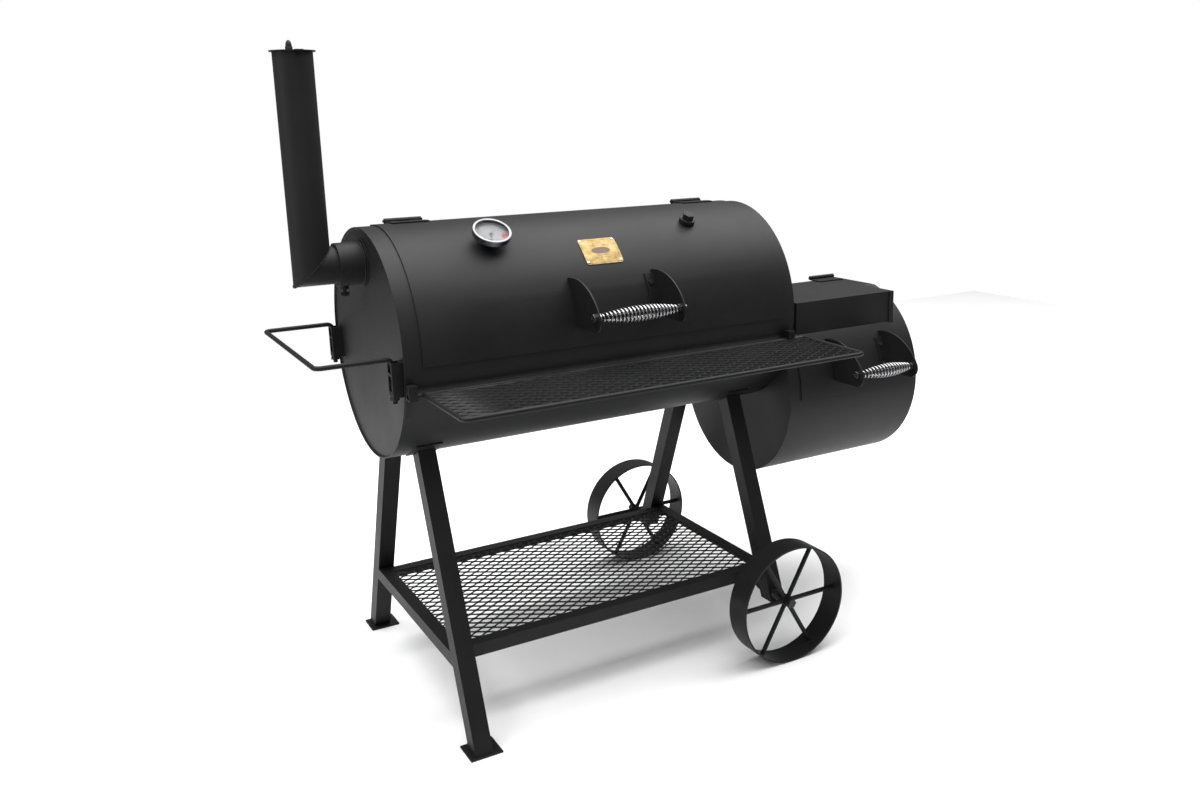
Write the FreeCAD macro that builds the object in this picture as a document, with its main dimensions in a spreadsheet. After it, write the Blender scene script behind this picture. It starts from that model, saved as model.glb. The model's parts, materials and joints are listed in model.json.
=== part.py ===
import FreeCAD, Part
import math
import os
import re

import Sketcher

# Offset smoker: a cook chamber barrel on four splayed legs, a lower firebox barrel on its right end
# and a mitred smokestack on its left end. X runs along the barrels towards the firebox, -Y is the
# front, +Z is up and the floor is Z = 0. Places are written in chamber coordinates, with X = 0 at
# the chamber's left rim and Y = 0 on its axis; frame_x and frame_y move them to the row's origin,
# the middle of the floor under the whole object. Angles are degrees above the front.

os.makedirs("parts", exist_ok=True)
doc = FreeCAD.newDocument("offset_smoker")

DIMENSIONS = [
    ("frame_x", -624.8, "chamber's left rim in the row's frame"),
    ("frame_y", 43.75, "chamber's axis in the row's frame"),
    ("gap_sheet", 0.3, "clearance between sheets that move past each other"),
    ("gap_seat", 0.05, "clearance of a fixed piece on a curved sheet"),
    ("gap_pin", 0.06, "radial clearance of a running pin"),
    ("overrun", 12, "how far a cutting solid runs past what it cuts"),
    # Cook chamber
    ("shell_r", 254, "chamber outside radius"),
    ("shell_len", 979, "chamber length"),
    ("shell_wall", 3, "barrel sheet thickness"),
    ("axis_z", 834, "chamber axis height"),
    ("end_plate", 3, "end disc thickness"),
    ("end_inset", 4, "recess of the left disc in the rim"),
    ("mouth_x", 54, "left edge of the chamber's mouth"),
    ("mouth_len", 880, "length of the chamber's mouth"),
    ("mouth_low", 30, "mouth's lower edge above the axis"),
    ("mouth_back", 20, "mouth's rear edge behind the axis"),
    ("lid_wall", 2.5, "lid sheet thickness"),
    ("lid_x", 39, "left edge of the lid"),
    ("lid_len", 908, "length of the lid"),
    ("lid_low", 9, "lid's lower edge below the axis"),
    ("lid_back", 40, "lid's rear edge behind the axis"),
    # Firebox
    ("fire_r", 241, "firebox outside radius"),
    ("flange_wall", 4, "plate between the barrels"),
    ("flange_low", 596, "lower edge of the plate between the barrels"),
    ("flange_top", 835, "upper edge of the plate between the barrels"),
    ("fire_len", 423, "firebox length"),
    ("fire_z", 607, "firebox axis height"),
    ("fire_deck", 231.2, "flat deck above the firebox's axis"),
    ("fire_mouth_in", 48, "firebox mouth from its left end"),
    ("fire_mouth_len", 350, "length of the firebox's mouth"),
    ("fire_mouth_low", 13, "mouth's lower edge above the axis"),
    ("fire_mouth_back", 58, "mouth's rear edge behind the axis"),
    ("fire_lid_in", 32, "firebox lid from the firebox's left end"),
    ("fire_lid_len", 381, "length of the firebox's lid"),
    ("fire_lid_low", 4, "firebox lid's lower edge below the axis"),
    ("fire_lid_back", 71.5, "firebox lid's rear edge behind the axis"),
    ("hood_in", 54, "lid's flat-topped box from the firebox's left end"),
    ("hood_len", 324, "length of the flat-topped box"),
    ("hood_lap", 14, "width of the end plate's fold on the box's front"),
    ("hood_front", 190, "front face of the box ahead of the axis"),
    ("throat_wide", 220, "width of the throat between the barrels"),
    ("throat_low", 640, "throat's lower edge"),
    ("throat_tall", 110, "throat's height"),
    # Smokestack
    ("pipe_r", 40, "smokestack outside radius"),
    ("pipe_wall", 2, "smokestack wall"),
    ("stack_x", -103, "smokestack axis"),
    ("flue_z", 1012, "flue axis height"),
    ("stack_top", 1447, "top of the smokestack"),
    ("mitre_half", 500, "half size of the block that cuts the mitre"),
    ("collar_r", 46.5, "flue collar outside radius"),
    ("collar_bore", 40.6, "flue collar bore radius"),
    ("collar_out", 54, "collar's reach beyond the rim"),
    ("collar_flange", 52, "collar flange radius"),
    ("screw_x", -38, "thumb screw position"),
    ("screw_r", 4, "thumb screw radius"),
    ("boss_r", 9, "thumb screw boss radius"),
    ("screw_low", 944, "lower end of the thumb screw"),
    ("screw_bar", 18, "thumb screw crossbar length"),
    ("cap_r", 45.5, "stack lid radius"),
    ("cap_wall", 2.5, "stack lid thickness"),
    ("cap_lug", 16, "stack lid's finger lug width"),
    ("cap_bolt_y", 26, "stack lid pivot behind the pipe's axis"),
    ("cap_bolt_r", 4, "stack lid pivot radius"),
    ("cap_nut_r", 8.5, "stack lid nut's corner radius"),
    ("cap_bolt_up", 25, "stack lid pivot's height above the pipe"),
    ("nut_r", 10, "large nut's corner radius"),
    ("joint_out", 150, "outer joint bolts off the axis"),
    ("joint_in", 60, "upper joint bolts off the axis"),
    ("joint_low_z", 660, "lowest joint bolts' height"),
    ("joint_mid_z", 740, "middle joint bolts' height"),
    ("joint_top_z", 790, "upper joint bolts' height"),
    ("nut_tall", 7, "large nut's height"),
    # Handles
    ("handle_y", 345, "main lid handle rod ahead of the axis"),
    ("fire_handle_y", 332, "firebox lid handle rod ahead of the axis"),
    ("handle_up", 66, "handle rods above their barrel's axis"),
    ("fan_r", 132, "radius of the bracket's fan edge"),
    ("fan_back", 98, "fan centre behind the rod"),
    ("fan_up", 7, "fan centre above the barrel's axis"),
    ("fan_low", 35, "bracket's lower edge above the barrel's axis"),
    ("fan_nose", 25, "bracket's nose radius"),
    ("bracket_wall", 3.5, "bracket thickness"),
    ("tab_wide", 20, "width of the bracket's bent tab"),
    ("tab_low_deg", 9, "lower end of the bent tab"),
    ("tab_span_deg", 21, "angle of the bent tab"),
    ("tab_bolt_deg", 13, "lower bolt of the bent tab"),
    ("tab_bolt_step", 12, "angle between the tab's bolts"),
    ("rod_r", 5, "handle rod radius"),
    ("grip_end_r", 8.5, "grip radius at its ends"),
    ("grip_mid_r", 18, "grip radius at its middle"),
    ("main_handle_x", 386, "main lid handle's left bracket"),
    ("main_handle_len", 213, "main lid handle over its brackets"),
    ("fire_handle_x", 1119, "firebox lid handle's left bracket"),
    ("fire_handle_len", 183, "firebox lid handle over its brackets"),
    ("bolt_r", 3, "small bolt radius"),
    ("bolt_head_r", 6, "small bolt head's corner radius"),
    ("bolt_head", 4, "small bolt head height"),
    # Gauge, badge and port on the main lid
    ("gauge_x", 244, "thermometer position"),
    ("gauge_deg", 57.6, "thermometer angle"),
    ("gauge_r", 41.6, "thermometer case radius"),
    ("gauge_deep", 13, "thermometer case depth"),
    ("gauge_stand", 19, "case back above the lid"),
    ("case_wall", 2, "thermometer case wall"),
    ("bezel_wide", 5, "bezel lip width"),
    ("lens_wall", 2, "lens thickness"),
    ("stem_r", 6, "thermometer stem radius"),
    ("stem_nut_r", 11, "thermometer nut's corner radius"),
    ("probe_r", 3, "thermometer probe radius"),
    ("probe_len", 70, "thermometer probe length below the lid"),
    ("spindle_r", 1.5, "needle spindle radius"),
    ("needle_len", 30, "needle length"),
    ("needle_lean", 20, "needle's lean to the left of straight down"),
    ("needle_wide", 2.4, "needle width"),
    ("needle_wall", 1, "needle thickness"),
    ("port_x", 751.5, "spare port position"),
    ("port_deg", 60.5, "spare port angle"),
    ("port_r", 19, "spare port coupling radius"),
    ("port_tall", 12, "spare port coupling height"),
    ("port_bore", 12, "spare port thread radius"),
    ("port_head_r", 14, "spare port plug's corner radius"),
    ("port_head", 13, "spare port plug's height"),
    ("badge_x", 444, "badge's left edge"),
    ("badge_len", 91.5, "badge length"),
    ("badge_low_deg", 37.6, "badge's lower edge"),
    ("badge_span_deg", 15.8, "badge's angle round the lid"),
    ("badge_wall", 1.5, "badge thickness"),
    ("rivet_r", 2.5, "badge rivet radius"),
    ("rivet_in", 6, "badge rivet from the badge's edges"),
    ("rivet_tall", 1.2, "badge rivet height"),
    ("rivet_in_deg", 1.5, "badge rivet from the badge's lower and upper edges"),
    # Lid hinges
    ("pin_r", 3, "hinge pin radius"),
    ("pin_proud", 3, "hinge pin beyond each end of the hinge"),
    ("knuckle_r", 6, "hinge knuckle radius"),
    ("knuckle_len", 28, "hinge knuckle length"),
    ("leaf_wall", 3, "hinge leaf thickness"),
    ("main_pin_y", 50.2, "main hinge pin behind the axis"),
    ("main_pin_z", 1092.2, "main hinge pin height"),
    ("main_leaf_deg", 88, "main moving leaf's front edge"),
    ("main_leaf_span", 10.5, "main moving leaf's angle"),
    ("main_rear_deg", 103.5, "main fixed leaf's front edge"),
    ("main_rear_span", 8.5, "main fixed leaf's angle"),
    ("main_tongue_y", 37, "front end of the main moving tongue"),
    ("main_tongue_z", 1088.5, "underside of the main moving tongue"),
    ("main_heel_y", 61, "rear end of the main fixed tongue"),
    ("main_heel_z", 1083.3, "underside of the main fixed tongue"),
    ("fire_pin_y", 80, "firebox hinge pin behind the axis"),
    ("fire_pin_z", 847.1, "firebox hinge pin height"),
    ("fire_leaf_y", 35, "firebox moving leaf's front edge"),
    ("fire_rear_deg", 110, "firebox fixed leaf's front edge"),
    ("fire_rear_span", 14, "firebox fixed leaf's angle"),
    ("fire_web_y", 82, "front face of the firebox fixed web"),
    ("fire_web_z", 834, "underside of the firebox fixed web"),
    ("web_wall", 4, "firebox fixed web thickness"),
    ("main_hinge_left", 74, "left main hinge"),
    ("main_hinge_right", 820, "right main hinge"),
    ("fire_hinge_left", 1031, "left firebox hinge"),
    ("fire_hinge_right", 1298, "right firebox hinge"),
    # Legs and wheels
    ("leg_side", 40, "leg tube side"),
    ("leg_wall", 2.5, "leg tube wall"),
    ("leg_foot_y", 355, "leg axis off the chamber's axis at the floor"),
    ("leg_slope", 0.402, "leg splay, Y per Z"),
    ("leg_left_x", 76, "left leg axis"),
    ("leg_right_x", 884.5, "right leg axis"),
    ("leg_top", 650, "height that a leg reaches before the saddle trims it"),
    ("right_leg_low", 126, "lower end of the right legs"),
    ("pad_in", 1, "how far the shelf pad sinks in the leg's wall"),
    ("saddle_wall", 3, "leg saddle thickness"),
    ("saddle_len", 60, "leg saddle length"),
    ("saddle_deg", -73, "front saddle's lower edge"),
    ("saddle_span", 20, "saddle's angle"),
    ("saddle_rear_deg", -127, "rear saddle's edge"),
    ("foot_x", 43.8, "foot plate's left edge"),
    ("foot_len", 72, "foot plate length"),
    ("foot_deep", 66, "foot plate depth"),
    ("foot_wall", 4, "foot plate thickness"),
    ("foot_y", 315, "foot plate's inner edge off the axis"),
    ("wheel_r", 147.5, "wheel radius"),
    ("wheel_x", 877, "wheel axle position"),
    ("wheel_wall", 4, "wheel band thickness"),
    ("wheel_wide", 65, "wheel band width"),
    ("wheel_out", 402, "outer edge of the wheels off the axis"),
    ("spoke_y", 368, "spoke plane off the axis"),
    ("spoke_r", 5.6, "spoke radius"),
    ("spoke_count", 6, "spokes in a wheel"),
    ("spoke_sink", 2, "how far a spoke sinks in the band"),
    ("hub_r", 13, "wheel hub radius"),
    ("hub_in", 347, "hub's inner end off the axis"),
    ("hub_len", 36, "hub length"),
    ("axle_r", 8, "stub axle radius"),
    ("axle_in", 258, "stub axle's inner end off the axis"),
    ("axle_head_r", 11.5, "stub axle head's corner radius"),
    ("axle_head", 9, "stub axle head height"),
    ("spacer_r", 12, "axle spacer radius"),
    ("spacer_in", 322.5, "axle spacer's inner end off the axis"),
    # Shelves
    ("rail_side", 30, "lower shelf's angle iron leg"),
    ("rail_wall", 3, "angle iron thickness"),
    ("mesh_wall", 2, "expanded metal thickness"),
    ("low_shelf_x", 56, "lower shelf's left edge"),
    ("low_shelf_len", 849, "lower shelf length"),
    ("low_shelf_half", 252, "lower shelf half depth"),
    ("low_shelf_top", 194, "lower shelf's top"),
    ("shelf_bolt_z", 179, "lower shelf bolt height"),
    ("shelf_bolt_r", 4, "lower shelf bolt radius"),
    ("shelf_bolt_head_r", 7.5, "lower shelf bolt head's corner radius"),
    ("shelf_bolt_head", 5, "lower shelf bolt head height"),
    ("front_shelf_x", 28, "front shelf's left edge"),
    ("front_shelf_len", 977, "front shelf length"),
    ("front_shelf_back", 256.5, "front shelf's rear edge ahead of the axis"),
    ("front_shelf_deep", 233, "front shelf depth"),
    ("front_shelf_top", 776, "front shelf's top"),
    ("shelf_rod_r", 5, "front shelf's rod radius"),
    ("shelf_rear_r", 6, "front shelf's rear rod radius"),
    ("shelf_bend", 14, "front shelf's corner bend radius"),
    ("shelf_mesh_in", 4, "mesh edge inside the rod's middle"),
    ("shelf_mesh_up", 0.5, "mesh underside above the rod's middle"),
    ("rod_over", 22, "rear rod's reach beyond the shelf's left edge"),
    ("block_wide", 18, "front shelf bracket width"),
    ("block_left", 1, "left bracket's left edge"),
    ("block_right", 950, "right bracket's left edge"),
    ("block_low", 762, "front shelf bracket's lower edge"),
    ("block_tall", 31, "front shelf bracket's height"),
    ("block_front", 272, "front shelf bracket's face ahead of the axis"),
    ("strap_wide", 14, "width of the strap under a shelf bracket"),
    ("strap_wall", 4, "thickness of the strap under a shelf bracket"),
    ("strap_span_deg", 11, "arc of the strap under a shelf bracket"),
    ("strap_low_deg", -26.5, "strap's lower end above the front"),
    # Tow handle
    ("tow_r", 5, "tow handle rod radius"),
    ("tow_out", 167, "tow handle's reach beyond the rim"),
    ("tow_half", 225, "tow handle half width"),
    ("tow_z", 844, "tow handle height"),
    ("tow_gap", 14, "turned-down ends ahead of the rim"),
    ("tow_low", 752, "lower end of the turned-down ends"),
    ("tow_bend", 14, "tow handle bend radius"),
    ("lug_wide", 28, "tow handle bracket width"),
    ("lug_low", 766, "tow handle bracket's lower lug"),
    ("lug_rise", 44, "tow handle bracket's height between lugs"),
    ("lug_wall", 5, "tow handle lug thickness"),
    ("lug_rim", 2, "tow handle lug's reach beyond the rod"),
    ("channel_deep", 25, "tow handle bracket's side depth"),
    ("channel_wall", 3, "tow handle bracket's side thickness"),
    ("channel_over", 22, "tow handle bracket's height above its upper lug"),
    # Fire door
    ("door_half", 125, "fire door half width"),
    ("door_low", 425, "fire door's lower edge"),
    ("door_tall", 210, "fire door height"),
    ("door_wall", 3, "fire door thickness"),
    ("door_lap", 16, "fire door's lap over its opening"),
    ("door_pin_y", 133, "fire door hinge pin behind the axis"),
    ("door_pin_x", 7, "fire door hinge pin beyond the firebox's end"),
    ("door_hinge_len", 12, "fire door knuckle length"),
    ("door_hinge_low", 462, "lower fire door hinge"),
    ("door_hinge_step", 116, "distance between the fire door's hinges"),
    ("strap_len", 70, "fire door strap length"),
    ("door_leaf", 32, "fire door fixed leaf length"),
    ("damper_r", 56, "air damper radius"),
    ("damper_wall", 2, "air damper thickness"),
    ("damper_z", 500, "air damper centre height"),
    ("damper_tab", 14, "air damper tab width"),
    ("damper_tab_out", 12, "air damper tab reach"),
    ("vent_r", 15, "air vent radius"),
    ("vent_ring", 32, "air vents off the damper's centre"),
    ("vent_turn", 60, "angle between the damper's holes and the door's"),
    ("peg_r", 3, "door peg radius"),
    ("peg_head_r", 6, "door peg head radius"),
    ("peg_head", 2, "door peg head thickness"),
    ("latch_y", 100, "latch pivot ahead of the axis"),
    ("latch_z", 535, "latch pivot height"),
    ("latch_len", 46, "latch lever length from its pivot"),
    ("latch_wide", 14, "latch lever width"),
    ("latch_wall", 3, "latch lever thickness"),
    ("keeper_wide", 19, "latch keeper width"),
    ("keeper_wall", 3, "latch keeper thickness"),
    ("keeper_gap", 1.2, "clearance of the lever in its keeper"),
    ("keeper_tall", 18, "latch keeper height"),
    # Grates
    ("ledge_wide", 16, "grate ledge width"),
    ("ledge_tall", 6, "grate ledge thickness"),
    ("grate_z", 812, "cooking grate underside"),
    ("grate_half", 236, "cooking grate half depth"),
    ("grate_x", 14, "first cooking grate"),
    ("grate_len", 314, "cooking grate length"),
    ("grate_gap", 4, "gap between cooking grates"),
    ("grate_side", 8, "grate frame bar"),
    ("grate_bar", 6, "grate bar"),
    ("coal_x", 1000, "charcoal grate's left edge"),
    ("coal_len", 390, "charcoal grate length"),
    ("coal_half", 190, "charcoal grate half depth"),
    ("coal_z", 480, "charcoal grate underside"),
]

sheet = doc.addObject("Spreadsheet::Sheet", "Params")
size = {}
for row, (alias, value, note) in enumerate(DIMENSIONS, 1):
    sheet.set(f"A{row}", note)
    sheet.set(f"B{row}", str(value))
    sheet.setAlias(f"B{row}", alias)
    size[alias] = value
doc.recompute()

ALIAS = re.compile(r"[a-z][a-z_]*[a-z]")
X_AXIS = FreeCAD.Vector(1, 0, 0)
Y_AXIS = FreeCAD.Vector(0, 1, 0)
Z_AXIS = FreeCAD.Vector(0, 0, 1)
UPRIGHT = FreeCAD.Rotation()
ALONG_X = FreeCAD.Rotation(Y_AXIS, 90)
REARWARD = FreeCAD.Rotation(X_AXIS, -90)
FORWARD = FreeCAD.Rotation(X_AXIS, 90)
# An outline in the YZ plane, thickened towards +X, and one in the XZ plane, thickened to the front.
OUTLINE_YZ = FreeCAD.Rotation(Y_AXIS, Z_AXIS, X_AXIS, "ZXY")
OUTLINE_XZ = FreeCAD.Rotation(X_AXIS, Z_AXIS, -Y_AXIS, "ZXY")
SIDES = (-1, 1)
HEX = 6
LID_OUT = "shell_r + gap_sheet + lid_wall"
FIRE_LID_OUT = "fire_r + gap_sheet + lid_wall"
FIRE_X = "shell_len + flange_wall"
FIRE_END = f"{FIRE_X} + fire_len"

nodes = []
made = []


def fresh(kind):
    made.append(kind)
    return f"{kind}_{len(made)}"


def expression(text):
    """An expression with the sheet's name before each alias."""
    def named(found):
        word = found.group(0)
        return f"Params.{word}" if word in size else word
    return ALIAS.sub(named, str(text))


def bind(thing, name, text):
    thing.setExpression(name, expression(text))


def place(thing, x, y, z, rotation=UPRIGHT):
    thing.Placement = FreeCAD.Placement(FreeCAD.Vector(), rotation)
    bind(thing, "Placement.Base.x", f"frame_x + ({x})")
    bind(thing, "Placement.Base.y", f"frame_y + ({y})")
    bind(thing, "Placement.Base.z", z)
    return thing


def box(x, y, z, length, width, height, rotation=UPRIGHT):
    thing = doc.addObject("Part::Box", fresh("box"))
    bind(thing, "Length", length)
    bind(thing, "Width", width)
    bind(thing, "Height", height)
    return place(thing, x, y, z, rotation)


def cylinder(radius, height, x, y, z, rotation=UPRIGHT):
    thing = doc.addObject("Part::Cylinder", fresh("cylinder"))
    bind(thing, "Radius", radius)
    bind(thing, "Height", height)
    return place(thing, x, y, z, rotation)


def hexagon(radius, height, x, y, z, rotation=UPRIGHT):
    thing = doc.addObject("Part::Prism", fresh("hexagon"))
    thing.Polygon = HEX
    bind(thing, "Circumradius", radius)
    bind(thing, "Height", height)
    return place(thing, x, y, z, rotation)


def cut(base, *tools):
    for tool in tools:
        thing = doc.addObject("Part::Cut", fresh("cut"))
        thing.Base = base
        thing.Tool = tool
        base = thing
    return base


def fuse(*shapes):
    thing = doc.addObject("Part::MultiFuse", fresh("fuse"))
    thing.Shapes = list(shapes)
    thing.Refine = True
    return thing


def common(*shapes):
    thing = doc.addObject("Part::MultiCommon", fresh("common"))
    thing.Shapes = list(shapes)
    return thing


def group(shapes):
    """Loose pieces of one kind that share a node."""
    thing = doc.addObject("Part::Compound", fresh("group"))
    thing.Links = list(shapes)
    return thing


def node(name, thing):
    thing.Label = name
    nodes.append(thing)


def outline(body, plane_role, points):
    """A closed outline whose corners are bound to the sheet."""
    sketch = body.newObject("Sketcher::SketchObject", fresh("outline"))
    plane = next(f for f in body.Origin.OriginFeatures if f.Role == plane_role)
    sketch.AttachmentSupport = [(plane, "")]
    sketch.MapMode = "FlatFace"
    count = len(points)
    spread = [(math.cos(math.tau * i / count), math.sin(math.tau * i / count)) for i in range(count)]
    for i in range(count):
        start = FreeCAD.Vector(*spread[i], 0)
        end = FreeCAD.Vector(*spread[(i + 1) % count], 0)
        sketch.addGeometry(Part.LineSegment(start, end), False)
    for i in range(count):
        sketch.addConstraint(Sketcher.Constraint("Coincident", i, 2, (i + 1) % count, 1))
    for i, corner in enumerate(points):
        for k, kind in enumerate(("DistanceX", "DistanceY")):
            number = sketch.addConstraint(Sketcher.Constraint(kind, -1, 1, i, 1, spread[i][k]))
            bind(sketch, f"Constraints[{number}]", corner[k])
    return sketch


def slab(points, thickness, x, y, z, rotation):
    """An outline thickened along local Z."""
    body = doc.addObject("PartDesign::Body", fresh("body"))
    pad = body.newObject("PartDesign::Pad", fresh("pad"))
    pad.Profile = outline(body, "XY_Plane", points)
    body.Tip = pad
    bind(pad, "Length", thickness)
    return place(body, x, y, z, rotation)


def turned(points, x, y, z, rotation=UPRIGHT):
    """An outline of radius and height turned round local Z."""
    body = doc.addObject("PartDesign::Body", fresh("body"))
    sketch = outline(body, "XZ_Plane", points)
    turn = body.newObject("PartDesign::Revolution", fresh("turn"))
    turn.Profile = sketch
    turn.ReferenceAxis = (sketch, ["V_Axis"])
    turn.Angle = 360
    body.Tip = turn
    return place(body, x, y, z, rotation)


def direction(degrees):
    """Unit vector in a barrel's section, this many degrees above the front."""
    turn = math.radians(degrees)
    return FreeCAD.Vector(0, -math.cos(turn), math.sin(turn))


def outward(degrees):
    """Local Z leaves the barrel at this angle, and local X runs along the barrel."""
    return FreeCAD.Rotation(X_AXIS, direction(degrees + 90), direction(degrees), "ZXY")


def on_barrel(degrees, radius, axis="axis_z"):
    """Y and Z of a point at this angle and radius."""
    return f"-cos({degrees}) * ({radius})", f"{axis} + sin({degrees}) * ({radius})"


def barrel(radius, x, length, axis):
    return cylinder(radius, length, x, "0", axis, ALONG_X)


def curved_plate(inner, wall, x, length, start, span, axis):
    """A plate bent round a barrel, from the alias start over the alias span."""
    rotation = FreeCAD.Rotation(direction(size[start]), direction(size[start] + 90), -X_AXIS, "ZXY")
    sector = cylinder(f"{inner} + {wall}", length, f"{x} + {length}", "0", axis, rotation)
    bind(sector, "Angle", span)
    return cut(sector, barrel(inner, f"{x} - overrun", f"{length} + 2 * overrun", axis))


def bolt(x, y, z, rotation, grip, radius="bolt_r", head_r="bolt_head_r", head="bolt_head"):
    """A hexagon bolt and nut that clamp the grip; local Z runs from the head to the nut."""
    step = rotation.multVec(Z_AXIS)

    def along(distance):
        return (f"{x} + ({distance}) * {step.x:.6f}", f"{y} + ({distance}) * {step.y:.6f}",
                f"{z} + ({distance}) * {step.z:.6f}")

    return fuse(
        hexagon(head_r, head, *along(f"-{head}"), rotation),
        cylinder(radius, f"{grip} + {head}", *along("0"), rotation),
        hexagon(head_r, head, *along(grip), rotation))


def fillet(base, radius, chosen):
    """Rounds the edges whose centre the chosen test accepts."""
    doc.recompute()
    thing = doc.addObject("Part::Fillet", fresh("fillet"))
    thing.Base = base
    picked = [i for i, edge in enumerate(base.Shape.Edges, 1) if chosen(edge.CenterOfMass)]
    thing.Edges = [(i, size[radius], size[radius]) for i in picked]
    return thing


# Cook chamber ------------------------------------------------------------------------------------

FLANGE_BOLTS = [
    (f"{side} * {across}", height)
    for side in SIDES
    for across, height in (
        ("joint_out", "joint_low_z"), ("joint_out", "joint_mid_z"), ("joint_in", "joint_top_z"))]


def throat(x):
    return box(f"{x} - overrun", "-throat_wide / 2", "throat_low", "2 * overrun", "throat_wide", "throat_tall")


def flange_holes(plate, x):
    holes = [cylinder("shelf_bolt_r + gap_sheet", "2 * overrun", f"{x} - overrun", y, z, ALONG_X)
             for y, z in FLANGE_BOLTS]
    return cut(plate, *holes)


def cook_chamber():
    mouth = box("mouth_x", "-shell_r - overrun", "axis_z + mouth_low",
                "mouth_len", "shell_r + overrun + mouth_back", "shell_r")
    node("chamber_shell", cut(
        barrel("shell_r", "0", "shell_len", "axis_z"),
        barrel("shell_r - shell_wall", "-overrun", "shell_len + 2 * overrun", "axis_z"),
        mouth))
    node("chamber_end_left", cut(
        barrel("shell_r - shell_wall", "end_inset", "end_plate", "axis_z"),
        cylinder("collar_bore", "2 * overrun", "end_inset - overrun", "0", "flue_z", ALONG_X)))
    right = cut(barrel("shell_r - shell_wall", "shell_len - end_plate", "end_plate", "axis_z"),
                throat("shell_len"))
    node("chamber_end_right", flange_holes(right, "shell_len"))
    link = common(
        cylinder("fire_r", "flange_wall", "shell_len", "0", "fire_z", ALONG_X),
        box("shell_len - overrun", "-fire_r", "flange_low",
            "2 * overrun", "2 * fire_r", "flange_top - flange_low"))
    node("joint_flange", flange_holes(cut(link, throat("shell_len")), "shell_len"))


def main_lid():
    skin = common(
        cut(barrel(LID_OUT, "lid_x", "lid_len", "axis_z"),
            barrel("shell_r + gap_sheet", "lid_x - overrun", "lid_len + 2 * overrun", "axis_z")),
        box("lid_x", "-shell_r - overrun", "axis_z - lid_low",
            "lid_len", "shell_r + overrun + lid_back", "shell_r + lid_low + overrun"))
    gauge_y, gauge_z = on_barrel("gauge_deg", "shell_r - overrun")
    port_y, port_z = on_barrel("port_deg", "shell_r - overrun")
    holes = [
        cylinder("stem_r + gap_seat", "3 * overrun", "gauge_x", gauge_y, gauge_z, outward(size["gauge_deg"])),
        cylinder("port_bore + gap_seat", "3 * overrun", "port_x", port_y, port_z, outward(size["port_deg"]))]
    holes += tab_holes("main_handle_x", "main_handle_len", "shell_r", "axis_z")
    node("lid_skin", cut(skin, *holes))


# Firebox -----------------------------------------------------------------------------------------

def flattened(radius, x, length, deck):
    """A barrel with a flat deck along its top."""
    return cut(barrel(radius, x, length, "fire_z"),
               box(f"{x} - overrun", "-fire_r", f"fire_z + {deck}",
                   f"{length} + 2 * overrun", "2 * fire_r", "fire_r"))


def firebox():
    mouth = box(f"{FIRE_X} + fire_mouth_in", "-fire_r - overrun", "fire_z + fire_mouth_low",
                "fire_mouth_len", "fire_r + overrun + fire_mouth_back", "fire_r")
    node("firebox_shell", cut(
        flattened("fire_r", FIRE_X, "fire_len", "fire_deck"),
        flattened("fire_r - shell_wall", f"{FIRE_X} - overrun",
                  "fire_len + 2 * overrun", "fire_deck - shell_wall"),
        mouth))
    left = cut(flattened("fire_r - shell_wall", FIRE_X, "end_plate", "fire_deck - shell_wall"),
               throat(FIRE_X))
    node("firebox_end_left", flange_holes(left, FIRE_X))
    right = flattened("fire_r - shell_wall", f"{FIRE_END} - end_plate", "end_plate", "fire_deck - shell_wall")
    opened = cut(right, box(
        f"{FIRE_END} - overrun", "-door_half + door_lap", "door_low + door_lap",
        "2 * overrun", "2 * (door_half - door_lap)", "door_tall - 2 * door_lap"))
    node("firebox_end_right", fuse(opened, *keeper()))


def keeper():
    """A hook beside the fire door, open along Z, whose lip the latch lever turns down behind."""
    y = "-latch_y - latch_len - keeper_gap - keeper_wall"
    z = "latch_z - keeper_tall / 2"
    reach = "2 * gap_sheet + door_wall + latch_wall + 2 * keeper_gap"
    return (
        box(FIRE_END, y, z, "door_wall", "keeper_wide", "keeper_tall"),
        box(FIRE_END, y, z, f"{reach} + keeper_wall", "keeper_wall", "keeper_tall"),
        box(f"{FIRE_END} + {reach}", y, z, "keeper_wall", "keeper_wide", "keeper_tall"))


def firebox_lid():
    deck = "fire_deck + gap_sheet"
    skin = common(
        cut(flattened(FIRE_LID_OUT, f"{FIRE_X} + fire_lid_in", "fire_lid_len", f"{deck} + lid_wall"),
            flattened("fire_r + gap_sheet", FIRE_X, "fire_len", deck)),
        box(f"{FIRE_X} + fire_lid_in", "-fire_r - overrun", "fire_z - fire_lid_low",
            "fire_lid_len", "fire_r + overrun + fire_lid_back", "fire_r + overrun"))
    node("firebox_lid_skin", cut(skin, *tab_holes("fire_handle_x", "fire_handle_len", "fire_r", "fire_z")))
    hood_x = f"{FIRE_X} + hood_in"
    node("firebox_lid_box", cut(
        fuse(box(hood_x, "-hood_front", "fire_z", "hood_len", "hood_front", f"{deck} + lid_wall"),
             box(f"{hood_x} + hood_len - hood_lap", "-hood_front - lid_wall", "fire_z",
                 "hood_lap", "2 * lid_wall", f"{deck} + lid_wall")),
        barrel(FIRE_LID_OUT, FIRE_X, "fire_len", "fire_z"),
        box(f"{hood_x} + lid_wall", "-hood_front + lid_wall", "fire_z", "hood_len - 2 * lid_wall",
            "hood_front", deck)))


# Handles -----------------------------------------------------------------------------------------

def tab_spots(left, length):
    """Middles of the two bent tabs, which turn in from the brackets."""
    return (f"{left} + bracket_wall + tab_wide / 2", f"{left} + {length} - bracket_wall - tab_wide / 2")


def tab_angles():
    return (size["tab_bolt_deg"], size["tab_bolt_deg"] + size["tab_bolt_step"])


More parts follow.
